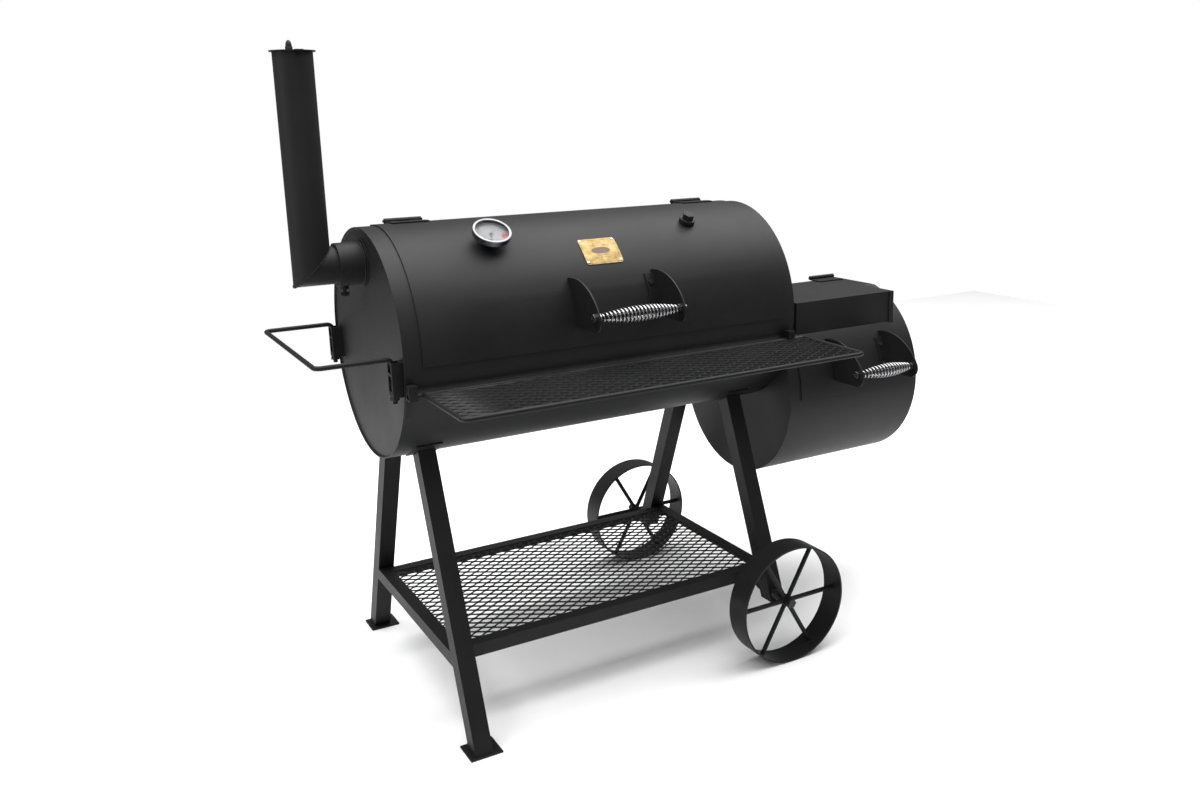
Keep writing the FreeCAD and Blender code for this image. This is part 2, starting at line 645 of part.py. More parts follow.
def tab_holes(left, length, radius, axis):
    holes = []
    for x in tab_spots(left, length):
        for angle in tab_angles():
            y, z = on_barrel(angle, f"{radius} - overrun", axis)
            holes.append(cylinder("bolt_r + gap_sheet", "3 * overrun", x, y, z, outward(angle)))
    return holes


def handle(prefix, left, length, rod_y, radius, axis):
    """Two fan-shaped brackets, a rod between them, a coil grip on it and the nuts and bolts."""
    seat = f"{radius} + gap_sheet + lid_wall + gap_seat"
    rod_z = f"{axis} + handle_up"
    low_z = size[axis] + size["fan_low"]
    nose_y = size["frame_y"] - size[rod_y]
    brackets = []
    for x, tab_x in ((left, f"{left} + bracket_wall"),
                     (f"{left} + {length} - bracket_wall", f"{left} + {length} - bracket_wall - tab_wide")):
        fan = cut(
            cylinder("fan_r", "bracket_wall", x, f"-{rod_y} + fan_back", f"{axis} + fan_up", ALONG_X),
            box(f"{x} - overrun", f"-{rod_y} - fan_r", f"{axis} + fan_low - 2 * fan_r",
                "bracket_wall + 2 * overrun", "4 * fan_r", "2 * fan_r"),
            barrel(seat, f"{x} - overrun", "bracket_wall + 2 * overrun", axis))
        fan = fillet(fan, "fan_nose", lambda centre: centre.y < nose_y and abs(centre.z - low_z) < 1)
        tab = curved_plate(seat, "bracket_wall", tab_x, "tab_wide", "tab_low_deg", "tab_span_deg", axis)
        plate = cut(fuse(fan, tab),
                    cylinder("rod_r + gap_seat", "bracket_wall + 2 * overrun", f"{x} - overrun",
                             f"-{rod_y}", rod_z, ALONG_X))
        brackets.append(plate)
    holes = tab_holes(left, length, radius, axis)
    node(f"{prefix}_handle_brackets", group([cut(brackets[0], *holes[:2]), cut(brackets[1], *holes[2:])]))
    node(f"{prefix}_handle_rod", cylinder(
        "rod_r", f"{length} + 2 * nut_tall", f"{left} - nut_tall", f"-{rod_y}", rod_z, ALONG_X))
    grip_len = f"({length} - 2 * bracket_wall - 2 * nut_tall)"
    node(f"{prefix}_handle_spring", turned(
        (("rod_r + gap_seat", "0"), ("grip_end_r", "0"), ("grip_mid_r", f"0.38 * {grip_len}"),
         ("grip_mid_r", f"0.62 * {grip_len}"), ("grip_end_r", grip_len), ("rod_r + gap_seat", grip_len)),
        f"{left} + bracket_wall + nut_tall", f"-{rod_y}", rod_z, ALONG_X))
    nuts = []
    for x in (f"{left} - nut_tall", f"{left} + bracket_wall",
              f"{left} + {length} - bracket_wall - nut_tall", f"{left} + {length}"):
        nuts.append(cut(hexagon("nut_r", "nut_tall", x, f"-{rod_y}", rod_z, ALONG_X),
                        cylinder("rod_r + gap_seat", "nut_tall", x, f"-{rod_y}", rod_z, ALONG_X)))
    grip = f"bracket_wall + gap_seat + lid_wall + 2 * gap_sheet"
    for x in tab_spots(left, length):
        for angle in tab_angles():
            y, z = on_barrel(angle, f"{seat} + bracket_wall + gap_sheet / 2", axis)
            nuts.append(bolt(x, y, z, outward(angle + 180), grip))
    node(f"{prefix}_handle_fasteners", group(nuts))


# Gauge, badge and port ---------------------------------------------------------------------------

def gauge():
    turn = outward(size["gauge_deg"])

    def at(above):
        return ("gauge_x", *on_barrel("gauge_deg", f"{LID_OUT} + {above}"), turn)

    node("gauge_stem", fuse(
        cylinder("probe_r", "probe_len", *at("(-probe_len)")),
        cylinder("stem_r", "gauge_stand + 2 * overrun", *at("(-2 * overrun)")),
        hexagon("stem_nut_r", "nut_tall", *at("gap_sheet")),
        hexagon("stem_nut_r", "nut_tall", *at("(-lid_wall - gap_sheet - nut_tall)"))))
    node("gauge_case", turned(
        (("0", "0"), ("gauge_r", "0"), ("gauge_r", "gauge_deep"), ("gauge_r - bezel_wide", "gauge_deep"),
         ("gauge_r - bezel_wide", "gauge_deep - case_wall"), ("gauge_r - case_wall", "gauge_deep - case_wall"),
         ("gauge_r - case_wall", "case_wall"), ("0", "case_wall")),
        *at("gauge_stand")))
    node("gauge_dial", fuse(
        cylinder("gauge_r - case_wall", "needle_wall", *at("gauge_stand + case_wall")),
        cylinder("spindle_r", "3 * needle_wall", *at("gauge_stand + case_wall + needle_wall"))))
    node("gauge_lens", cylinder(
        "gauge_r - case_wall", "lens_wall", *at("gauge_stand + gauge_deep - case_wall - lens_wall")))
    # The needle points down and a little to the left at rest; its tail end is a disc round the spindle.
    lift = "gauge_stand + case_wall + 2 * needle_wall"
    root_y, root_z = on_barrel("gauge_deg", f"{LID_OUT} + {lift}")
    down = direction(size["gauge_deg"] - 90)
    reach = "(needle_len * cos(needle_lean) - needle_wide / 2 * sin(needle_lean))"
    tilted = turn.multiply(FreeCAD.Rotation(Z_AXIS, -size["needle_lean"]))
    blade = box("gauge_x - needle_len * sin(needle_lean) - needle_wide / 2 * cos(needle_lean)",
                f"{root_y} + {reach} * {down.y:.6f}", f"{root_z} + {reach} * {down.z:.6f}",
                "needle_wide", "needle_len", "needle_wall", tilted)
    node("gauge_needle", cut(
        fuse(blade, cylinder("2 * spindle_r", "needle_wall", *at(lift))),
        cylinder("spindle_r + gap_pin", "needle_wall", *at(lift))))


def port_and_badge():
    turn = outward(size["port_deg"])
    seat_y, seat_z = on_barrel("port_deg", f"{LID_OUT} + gap_sheet")
    thread_y, thread_z = on_barrel("port_deg", "shell_r - overrun / 2")
    head_y, head_z = on_barrel("port_deg", f"{LID_OUT} + port_tall")
    node("port_plug", fuse(
        cylinder("port_r", "port_tall - gap_sheet", "port_x", seat_y, seat_z, turn),
        cylinder("port_bore", "port_tall + overrun / 2", "port_x", thread_y, thread_z, turn),
        hexagon("port_head_r", "port_head", "port_x", head_y, head_z, turn)))
    node("badge", curved_plate(f"{LID_OUT} + gap_seat", "badge_wall", "badge_x", "badge_len",
                               "badge_low_deg", "badge_span_deg", "axis_z"))
    rivets = []
    for x in ("badge_x + rivet_in", "badge_x + badge_len - rivet_in"):
        for angle in (size["badge_low_deg"] + size["rivet_in_deg"],
                      size["badge_low_deg"] + size["badge_span_deg"] - size["rivet_in_deg"]):
            y, z = on_barrel(angle, f"{LID_OUT} + 2 * gap_seat + badge_wall")
            rivets.append(cylinder("rivet_r", "rivet_tall", x, y, z, outward(angle)))
    node("badge_rivets", group(rivets))


# Hinges ------------------------------------------------------------------------------------------

def knuckle(number, left, y, z):
    """One of a hinge's three knuckles, with running clearance at its ends."""
    start = f"{left} + {number} * knuckle_len + gap_sheet / 2"
    return cylinder("knuckle_r", "knuckle_len - gap_sheet", start, y, z, ALONG_X)


def pin_bore(left, y, z):
    return cylinder("pin_r + gap_pin", "3 * knuckle_len + 2 * overrun", f"{left} - overrun", y, z, ALONG_X)


def main_moving_leaf(left):
    outer = []
    for number in (0, 2):
        start = f"{left} + {number} * knuckle_len + gap_sheet / 2"
        outer.append(knuckle(number, left, "main_pin_y", "main_pin_z"))
        outer.append(box(start, "main_tongue_y", "main_tongue_z", "knuckle_len - gap_sheet",
                         "main_pin_y - main_tongue_y", "leaf_wall"))
    leaf = curved_plate(f"{LID_OUT} + gap_seat", "leaf_wall", left, "3 * knuckle_len",
                        "main_leaf_deg", "main_leaf_span", "axis_z")
    return cut(fuse(leaf, *outer), pin_bore(left, "main_pin_y", "main_pin_z"))


def main_fixed_leaf(left):
    start = f"{left} + knuckle_len + gap_sheet / 2"
    tongue = box(start, "main_pin_y", "main_heel_z", "knuckle_len - gap_sheet",
                 "main_heel_y - main_pin_y", "2 * leaf_wall")
    leaf = curved_plate("shell_r + gap_seat", "leaf_wall", left, "3 * knuckle_len",
                        "main_rear_deg", "main_rear_span", "axis_z")
    return cut(fuse(leaf, tongue, knuckle(1, left, "main_pin_y", "main_pin_z")),
               pin_bore(left, "main_pin_y", "main_pin_z"))


def fire_moving_leaf(left):
    seat = "fire_z + fire_deck + gap_sheet + lid_wall + gap_seat"
    pieces = [box(left, "fire_leaf_y", seat, "3 * knuckle_len",
                  "fire_pin_y - knuckle_r - gap_sheet - fire_leaf_y", "leaf_wall")]
    for number in (0, 2):
        start = f"{left} + {number} * knuckle_len + gap_sheet / 2"
        pieces.append(knuckle(number, left, "fire_pin_y", "fire_pin_z"))
        pieces.append(box(start, "fire_leaf_y", seat, "knuckle_len - gap_sheet", "fire_pin_y - fire_leaf_y",
                          "leaf_wall"))
    return cut(fuse(*pieces), pin_bore(left, "fire_pin_y", "fire_pin_z"))


def fire_fixed_leaf(left):
    web = box(f"{left} + knuckle_len + gap_sheet / 2", "fire_web_y", "fire_web_z",
              "knuckle_len - gap_sheet", "web_wall", "fire_pin_z - fire_web_z")
    leaf = curved_plate("fire_r + gap_seat", "leaf_wall", left, "3 * knuckle_len",
                        "fire_rear_deg", "fire_rear_span", "fire_z")
    return cut(fuse(leaf, web, knuckle(1, left, "fire_pin_y", "fire_pin_z")),
               pin_bore(left, "fire_pin_y", "fire_pin_z"))


def hinge_pin(left, y, z):
    return cylinder("pin_r", "3 * knuckle_len + 2 * pin_proud", f"{left} - pin_proud", y, z, ALONG_X)


def hinges():
    main = ("main_hinge_left", "main_hinge_right")
    fire = ("fire_hinge_left", "fire_hinge_right")
    door = ("door_hinge_low", "door_hinge_low + door_hinge_step")
    node("lid_hinge_leaves", group([main_moving_leaf(left) for left in main]))
    node("firebox_lid_hinge_leaves", group([fire_moving_leaf(left) for left in fire]))
    node("hinge_fixed_leaves", group(
        [main_fixed_leaf(left) for left in main] + [fire_fixed_leaf(left) for left in fire]
        + [door_fixed_leaf(low) for low in door]))
    node("hinge_pins", group(
        [hinge_pin(left, "main_pin_y", "main_pin_z") for left in main]
        + [hinge_pin(left, "fire_pin_y", "fire_pin_z") for left in fire]
        + [cylinder("pin_r", "2 * door_hinge_len + 2 * pin_proud", f"{FIRE_END} + door_pin_x", "door_pin_y",
                    f"{low} - pin_proud") for low in door]))


# Smokestack --------------------------------------------------------------------------------------

def elbow(radius, root_x, top_z):
    """Two equal pipes that meet at a right angle in a mitre."""
    upper_left = box("stack_x - mitre_half * cos(45)", "-mitre_half", "flue_z - mitre_half * cos(45)",
                     "2 * mitre_half", "2 * mitre_half", "2 * mitre_half", FreeCAD.Rotation(Y_AXIS, -45))
    upright = cylinder(radius, f"{top_z} - flue_z + 2 * pipe_r", "stack_x", "0", "flue_z - 2 * pipe_r")
    level = cylinder(radius, f"{root_x} - stack_x + 2 * pipe_r",
                     "stack_x - 2 * pipe_r", "0", "flue_z", ALONG_X)
    return fuse(common(upright, upper_left), cut(level, upper_left))


def smokestack():
    root_x = "end_inset + end_plate"
    node("smokestack", cut(elbow("pipe_r", root_x, "stack_top"),
                           elbow("pipe_r - pipe_wall", f"{root_x} + overrun", "stack_top + overrun")))
    screw_hole = cylinder("screw_r + gap_pin", "collar_r", "screw_x", "0", "flue_z - collar_r - overrun")
    sleeve = fuse(
        cylinder("collar_r", "collar_out + end_inset - end_plate", "-collar_out", "0", "flue_z", ALONG_X),
        cylinder("collar_flange", "end_plate", "end_inset - end_plate", "0", "flue_z", ALONG_X),
        cylinder("boss_r", "overrun", "screw_x", "0", "flue_z - collar_r - overrun / 2"))
    node("flue_collar", cut(
        sleeve,
        cylinder("collar_bore", "collar_out + 2 * overrun", "-collar_out - overrun", "0", "flue_z", ALONG_X),
        screw_hole))
    node("thumb_screw", fuse(
        cylinder("screw_r", "flue_z - pipe_r - gap_sheet - screw_low", "screw_x", "0", "screw_low"),
        cylinder("screw_r", "screw_bar", "screw_x - screw_bar / 2", "0", "screw_low + screw_r", ALONG_X)))
    bolt_hole = cylinder("cap_bolt_r + gap_pin", "4 * overrun",
                         "stack_x", "cap_bolt_y", "stack_top - 2 * overrun")
    node("cap_pivot_tab", cut(
        common(cylinder("pipe_r - pipe_wall", "overrun", "stack_x", "0", "stack_top - overrun"),
               box("stack_x - cap_nut_r", "cap_bolt_y - cap_nut_r", "stack_top - overrun", "2 * cap_nut_r",
                   "pipe_r", "overrun")),
        bolt_hole))
    plate_z = "stack_top + gap_sheet"
    plate = fuse(
        cylinder("cap_r", "cap_wall", "stack_x", "0", plate_z),
        box("stack_x - cap_lug / 2", "-cap_r - cap_lug", plate_z, "cap_lug", "2 * cap_lug", "cap_wall"))
    node("stack_cap", cut(plate, bolt_hole))
    nut_z = "stack_top + cap_wall + 2 * gap_sheet"
    node("cap_bolt", fuse(
        cylinder("cap_bolt_r", "cap_bolt_up + overrun", "stack_x", "cap_bolt_y", "stack_top - overrun"),
        hexagon("cap_nut_r", "nut_tall", "stack_x", "cap_bolt_y", nut_z),
        hexagon("cap_nut_r", "nut_tall", "stack_x", "cap_bolt_y", f"{nut_z} + nut_tall + gap_sheet")))


# Legs, wheels and shelves ------------------------------------------------------------------------

def leg_outline(side, half, low, top):
    """A splayed strip in the YZ plane, half wide at right angles to the leg."""
    def edge(sign, height):
        return f"{side} * (leg_foot_y - leg_slope * ({height}) + {sign} * ({half}) / cos(atan(leg_slope)))"
    return ((edge(-1, low), low), (edge(1, low), low), (edge(1, top), top), (edge(-1, top), top))


def leg(name, side, leg_x, low, axle):
    half = "leg_side / 2"
    tube = cut(
        slab(leg_outline(side, half, low, "leg_top"), "leg_side", f"{leg_x} - {half}", "0", "0", OUTLINE_YZ),
        slab(leg_outline(side, f"{half} - leg_wall", f"{low} - overrun", "leg_top + overrun"),
             "leg_side - 2 * leg_wall", f"{leg_x} - {half} + leg_wall", "0", "0", OUTLINE_YZ),
        barrel("shell_r + gap_seat + saddle_wall + gap_seat", "-overrun", "shell_len + overrun", "axis_z"))
    pad_low = "low_shelf_top - rail_side"
    face = f"{side} * (low_shelf_half + gap_seat)"

    def pad_edge(height):
        return f"{side} * (leg_foot_y - leg_slope * ({height}) - {half} / cos(atan(leg_slope)) + pad_in)"

    pad = slab(((face, pad_low), (pad_edge(pad_low), pad_low), (pad_edge("low_shelf_top"), "low_shelf_top"),
                (face, "low_shelf_top")), "leg_side", f"{leg_x} - {half}", "0", "0", OUTLINE_YZ)
    turn = REARWARD if side > 0 else FORWARD
    cuts = [cylinder("shelf_bolt_r + gap_sheet", "2 * rail_side",
                     leg_x, f"{side} * (low_shelf_half - overrun)", "shelf_bolt_z", turn)]
    if axle:
        cuts.append(cylinder("axle_r + gap_seat", "wheel_out - axle_in", "wheel_x", f"{side} * axle_in",
                             "wheel_r", turn))
    node(name, cut(fuse(tube, pad), *cuts))


def legs():
    leg("leg_front_left", -1, "leg_left_x", "foot_wall", False)
    leg("leg_rear_left", 1, "leg_left_x", "foot_wall", False)
    leg("leg_front_right", -1, "leg_right_x", "right_leg_low", True)
    leg("leg_rear_right", 1, "leg_right_x", "right_leg_low", True)
    saddles = [curved_plate("shell_r + gap_seat", "saddle_wall", f"{x} - saddle_len / 2", "saddle_len", start,
                            "saddle_span", "axis_z")
               for x in ("leg_left_x", "leg_right_x") for start in ("saddle_deg", "saddle_rear_deg")]
    node("leg_saddles", group(saddles))
    node("foot_plates", group([
        box("foot_x", y, "0", "foot_len", "foot_deep", "foot_wall")
        for y in ("-foot_y - foot_deep", "foot_y")]))


def wheel(name, side):
    turn = REARWARD if side > 0 else FORWARD
    band_in = f"{side} * (wheel_out - wheel_wide)"
    pieces = [
        cut(cylinder("wheel_r", "wheel_wide", "wheel_x", band_in, "wheel_r", turn),
            cylinder("wheel_r - wheel_wall", "wheel_wide", "wheel_x", band_in, "wheel_r", turn)),
        cylinder("hub_r", "hub_len", "wheel_x", f"{side} * hub_in", "wheel_r", turn)]
    spokes = int(size["spoke_count"])
    for number in range(spokes):
        lean = FreeCAD.Rotation(Y_AXIS, 90 + number * 360 / spokes)
        pieces.append(cylinder("spoke_r", "wheel_r - wheel_wall + spoke_sink", "wheel_x", f"{side} * spoke_y",
                               "wheel_r", lean))
    bore = cylinder("axle_r + gap_pin", "hub_len", "wheel_x", f"{side} * hub_in", "wheel_r", turn)
    node(name, cut(fuse(*pieces), bore))


def axle(side):
    """A stub axle: nut inside the leg, spacer, and a head outside the hub."""
    turn = REARWARD if side > 0 else FORWARD
    hub_out = "hub_in + hub_len + gap_sheet"
    return fuse(
        cylinder("axle_r", f"{hub_out} - axle_in", "wheel_x", f"{side} * axle_in", "wheel_r", turn),
        hexagon("axle_head_r", "nut_tall", "wheel_x", f"{side} * axle_in", "wheel_r", turn),
        cylinder("spacer_r", "hub_in - gap_sheet - spacer_in",
                 "wheel_x", f"{side} * spacer_in", "wheel_r", turn),
        hexagon("axle_head_r", "axle_head", "wheel_x", f"{side} * ({hub_out})", "wheel_r", turn))


def angle_frame(x, y, length, depth, top, side):
    """Four angle irons, mitred at the corners, with one flange on top and the other outside."""
    low = f"{top} - {side}"
    upright = cut(
        box(x, y, low, length, depth, side),
        box(f"{x} + rail_wall", f"{y} + rail_wall", f"{low} - overrun", f"{length} - 2 * rail_wall",
            f"{depth} - 2 * rail_wall", f"{side} + 2 * overrun"))
    level = cut(
        box(x, y, f"{top} - rail_wall", length, depth, "rail_wall"),
        box(f"{x} + {side}", f"{y} + {side}", f"{top} - overrun", f"{length} - 2 * {side}",
            f"{depth} - 2 * {side}", "2 * overrun"))
    return fuse(upright, level)


def mesh_panel(x, y, length, depth, top):
    """The expanded metal's sheet, under the frame's top flange."""
    return box(f"{x} + rail_wall", f"{y} + rail_wall", f"{top} - rail_wall - mesh_wall",
               f"{length} - 2 * rail_wall", f"{depth} - 2 * rail_wall", "mesh_wall")


def lower_shelf():
    spot = ("low_shelf_x", "-low_shelf_half", "low_shelf_len", "2 * low_shelf_half", "low_shelf_top")
    holes = [cylinder("shelf_bolt_r + gap_sheet", "2 * low_shelf_half + 2 * overrun", x,
                      "-low_shelf_half - overrun", "shelf_bolt_z", REARWARD)
             for x in ("leg_left_x", "leg_right_x")]
    node("lower_shelf_frame", cut(angle_frame(*spot, "rail_side"), *holes))
    node("lower_shelf_mesh", mesh_panel(*spot))


def bent_rod(x, y, z, bend, radius, rotation):
    """A quarter turn of rod round the point given."""
    thing = doc.addObject("Part::Torus", fresh("torus"))
    bind(thing, "Radius1", bend)
    bind(thing, "Radius2", radius)
    thing.Angle3 = 90
    return place(thing, x, y, z, rotation)


def shelf_ring(gap):
    """The front shelf's rods, grown by a gap: a front rod with bent ends that meet a thicker rear rod."""
    radius = f"shelf_rod_r + {gap}"
    left = "front_shelf_x + shelf_rod_r"
    right = "front_shelf_x + front_shelf_len - shelf_rod_r"
    front = "-front_shelf_back - front_shelf_deep + shelf_rod_r"
    z = "front_shelf_top - shelf_rod_r"
    side_len = "front_shelf_deep - shelf_rod_r - shelf_rear_r - shelf_bend"
    return fuse(
        cylinder(radius, "front_shelf_len - 2 * shelf_rod_r - 2 * shelf_bend", f"{left} + shelf_bend", front, z,
                 ALONG_X),
        cylinder(radius, side_len, left, f"{front} + shelf_bend", z, REARWARD),
        cylinder(radius, side_len, right, f"{front} + shelf_bend", z, REARWARD),
        cylinder(f"shelf_rear_r + {gap}", "front_shelf_len + rod_over", "front_shelf_x - rod_over",
                 "-front_shelf_back - shelf_rear_r", "front_shelf_top - shelf_rear_r", ALONG_X),
        bent_rod(f"{left} + shelf_bend", f"{front} + shelf_bend", z, "shelf_bend", radius,
                 FreeCAD.Rotation(Z_AXIS, 180)),
        bent_rod(f"{right} - shelf_bend", f"{front} + shelf_bend", z, "shelf_bend", radius,
                 FreeCAD.Rotation(Z_AXIS, 270)))


def front_shelf():
    """A rod ring filled with mesh, its rear rod held in two blocks on the barrel."""
    inset = "shelf_rod_r + shelf_mesh_in"
    front = f"-front_shelf_back - front_shelf_deep + {inset}"
    node("front_shelf_frame", shelf_ring("0"))
    node("front_shelf_mesh", cut(
        box(f"front_shelf_x + {inset}", front, "front_shelf_top - shelf_rod_r + shelf_mesh_up",
            f"front_shelf_len - 2 * ({inset})", f"-block_front - gap_sheet - ({front})", "mesh_wall"),
        shelf_ring("gap_sheet")))
    node("front_shelf_brackets", group([shelf_bracket("block_left"), shelf_bracket("block_right")]))


def shelf_bracket(left):
    """A drilled block cut to the barrel, with a strap below it that follows the barrel."""
    block = cut(
        box(left, "-block_front", "block_low", "block_wide", "block_front - shell_r / 2", "block_tall"),
        barrel("shell_r + gap_seat", "-overrun", "shell_len + 2 * overrun", "axis_z"),
        cylinder("shelf_rear_r + gap_seat", "block_wide + 2 * overrun", f"{left} - overrun",
                 "-front_shelf_back - shelf_rear_r", "front_shelf_top - shelf_rear_r", ALONG_X))
    strap = curved_plate("shell_r + gap_seat", "strap_wall", left, "strap_wide",
                         "strap_low_deg", "strap_span_deg", "axis_z")
    return fuse(block, strap)


# Tow handle and bolts ----------------------------------------------------------------------------

def tow_handle():
    far = "-tow_out + tow_bend"
    near = "-tow_gap - tow_bend"
    pieces = [
        cylinder("tow_r", "2 * (tow_half - tow_bend)", "-tow_out", "-tow_half + tow_bend", "tow_z", REARWARD),
        bent_rod(far, "-tow_half + tow_bend", "tow_z", "tow_bend", "tow_r", FreeCAD.Rotation(Z_AXIS, 180)),
        bent_rod(far, "tow_half - tow_bend", "tow_z", "tow_bend", "tow_r", FreeCAD.Rotation(Z_AXIS, 90))]
    for side in SIDES:
        y = f"{side} * tow_half"
        pieces += [
            cylinder("tow_r", "tow_out - tow_gap - 2 * tow_bend", far, y, "tow_z", ALONG_X),
            bent_rod(near, y, "tow_z - tow_bend", "tow_bend", "tow_r", OUTLINE_XZ),
            cylinder("tow_r", "tow_z - tow_bend - tow_low", "-tow_gap", y, "tow_low")]
    node("tow_handle", fuse(*pieces))
    node("tow_handle_brackets", group([tow_bracket(side) for side in SIDES]))


def tow_bracket(side):
    """A channel on the end disc with two drilled lugs across it for the turned-down rod."""
    y = f"{side} * tow_half - lug_wide / 2"
    reach = "tow_gap + tow_r + lug_rim + end_inset"
    tall = "lug_rise + lug_wall + channel_over"
    back = box("end_inset - lug_wall", y, "lug_low", "lug_wall", "lug_wide", tall)
    flanges = [box("end_inset - channel_deep", edge, "lug_low", "channel_deep", "channel_wall", tall)
               for edge in (y, f"{side} * tow_half + lug_wide / 2 - channel_wall")]
    lugs = [box(f"end_inset - ({reach})", y, z, reach, "lug_wide", "lug_wall")
            for z in ("lug_low", "lug_low + lug_rise")]
    bore = cylinder("tow_r + gap_seat", "tow_z - tow_low", "-tow_gap", f"{side} * tow_half", "tow_low")
    return cut(fuse(back, *flanges, *lugs), bore)


def frame_bolts():
    heavy = ("shelf_bolt_r", "shelf_bolt_head_r", "shelf_bolt_head")
    bolts = [bolt("shell_len - end_plate", y, z, ALONG_X, "2 * end_plate + flange_wall", *heavy)
             for y, z in FLANGE_BOLTS]
    for side in SIDES:
        turn = REARWARD if side > 0 else FORWARD
        for x in ("leg_left_x", "leg_right_x"):
            inner = f"{side} * (low_shelf_half - rail_wall - shelf_bolt_head)"
            bolts.append(fuse(
                hexagon("shelf_bolt_head_r", "shelf_bolt_head", x, inner, "shelf_bolt_z", turn),
                cylinder("shelf_bolt_r", "rail_side", x, inner, "shelf_bolt_z", turn)))
        for z in ("lug_low - nut_tall", "lug_low + lug_wall"):
            bolts.append(cut(
                hexagon("nut_r", "nut_tall", "-tow_gap", f"{side} * tow_half", z),
                cylinder("tow_r + gap_seat", "nut_tall", "-tow_gap", f"{side} * tow_half", z)))
    node("frame_bolts", group(bolts))
    node("axle_bolts", group([axle(side) for side in SIDES]))


# Fire door ---------------------------------------------------------------------------------------

DOOR_X = f"{FIRE_END} + gap_sheet"
DOOR_FACE = f"{DOOR_X} + door_wall"


def vents(centre_deg, x):
    holes = []
    for number in range(3):
        angle = centre_deg + number * 120
        holes.append(cylinder("vent_r", "2 * overrun", f"{x} - overrun", f"vent_ring * cos({angle})",
                              f"damper_z + vent_ring * sin({angle})", ALONG_X))
    return holes


def peg(y, z, grip):
    """A headed peg on the door that a turning plate rides on."""
    return [cylinder("peg_r", f"{grip} + 3 * gap_sheet", DOOR_FACE, y, z, ALONG_X),
            cylinder("peg_head_r", "peg_head", f"{DOOR_FACE} + {grip} + 2 * gap_sheet", y, z, ALONG_X)]


def door_fixed_leaf(low):
    spot = (f"{FIRE_END} + door_pin_x", "door_pin_y", f"{low} + gap_sheet / 2")
    leaf = box(f"{FIRE_END}", "door_pin_y", f"{low} + gap_sheet / 2", "leaf_wall", "door_leaf",
               "door_hinge_len - gap_sheet")
    return cut(fuse(leaf, cylinder("knuckle_r", "door_hinge_len - gap_sheet", *spot)),
               cylinder("pin_r + gap_pin", "door_hinge_len", *spot))


def fire_door():
    plate = box(DOOR_X, "-door_half", "door_low", "door_wall", "2 * door_half", "door_tall")
    node("fire_door", fuse(
        cut(plate, *vents(90, DOOR_X)),
        *peg("0", "damper_z", "damper_wall"),
        *peg("-latch_y", "latch_z", "latch_wall")))
    straps = []
    for low in ("door_hinge_low", "door_hinge_low + door_hinge_step"):
        z = f"{low} + door_hinge_len + gap_sheet / 2"
        spot = (f"{FIRE_END} + door_pin_x", "door_pin_y", z)
        strap = box(DOOR_FACE, "door_pin_y - strap_len", z,
                    "leaf_wall", "strap_len", "door_hinge_len - gap_sheet")
        straps.append(cut(fuse(strap, cylinder("knuckle_r", "door_hinge_len - gap_sheet", *spot)),
                          cylinder("pin_r + gap_pin", "door_hinge_len", *spot)))
    node("fire_door_hinge_straps", group(straps))
    damper_x = f"{DOOR_FACE} + gap_sheet"
    disc = fuse(
        cylinder("damper_r", "damper_wall", damper_x, "0", "damper_z", ALONG_X),
        box(damper_x, "-damper_tab / 2", "damper_z + damper_r - 2 * damper_wall", "damper_tab_out",
            "damper_tab", "damper_wall"))
    node("air_damper", cut(disc, *vents(90 + size["vent_turn"], damper_x),
                           cylinder("peg_r + gap_pin", "overrun", DOOR_FACE, "0", "damper_z", ALONG_X)))
    lever = fuse(
        box(f"{DOOR_FACE} + gap_sheet", "-latch_y - latch_wide / 2", "latch_z", "latch_wall", "latch_wide",
            "latch_len"),
        cylinder("latch_wide / 2", "latch_wall", f"{DOOR_FACE} + gap_sheet", "-latch_y", "latch_z", ALONG_X))
    node("fire_door_latch", cut(lever, cylinder("peg_r + gap_pin", "overrun", DOOR_FACE, "-latch_y", "latch_z",
                                                ALONG_X)))


# Grates ------------------------------------------------------------------------------------------

def grate(x, length, half, z):
    """A square-bar frame with bars across it, a finger's width apart."""
    frame = cut(
        box(x, f"-{half}", z, length, f"2 * {half}", "grate_side"),
        box(f"{x} + grate_side", f"-{half} + grate_side", f"{z} - overrun", f"{length} - 2 * grate_side",
            f"2 * {half} - 2 * grate_side", "3 * overrun"))
    inner = size[length] - 2 * size["grate_side"]
    count = round(inner / (3 * size["grate_bar"])) - 1
    bars = [box(f"{x} + grate_side + {i + 1} * ({length} - 2 * grate_side) / {count + 1} - grate_bar / 2",
                f"-{half} + grate_side / 2", z, "grate_bar", f"2 * {half} - grate_side", "grate_bar")
            for i in range(count)]
    return fuse(frame, *bars)


def grates():
    node("cooking_grates", group([
        grate(f"(grate_x + {i} * (grate_len + grate_gap))", "grate_len", "grate_half", "grate_z")
        for i in range(3)]))
    node("charcoal_grate", grate("coal_x", "coal_len", "coal_half", "coal_z"))
    ledges = []
    for side in SIDES:
        start = "-shell_r" if side < 0 else "shell_r - 2 * ledge_wide"
        ledges.append(common(
            box("end_inset + end_plate", start, "grate_z - ledge_tall", "shell_len - 2 * end_plate - end_inset",
                "2 * ledge_wide", "ledge_tall"),
            barrel("shell_r - shell_wall", "0", "shell_len", "axis_z")))
        start = "-fire_r" if side < 0 else "coal_half - ledge_wide"
        ledges.append(common(
            box(f"{FIRE_X} + end_plate", start, "coal_z - ledge_tall", "fire_len - 2 * end_plate",
                "fire_r - coal_half + ledge_wide", "ledge_tall"),
            barrel("fire_r - shell_wall", FIRE_X, "fire_len", "fire_z")))
    node("grate_ledges", group(ledges))


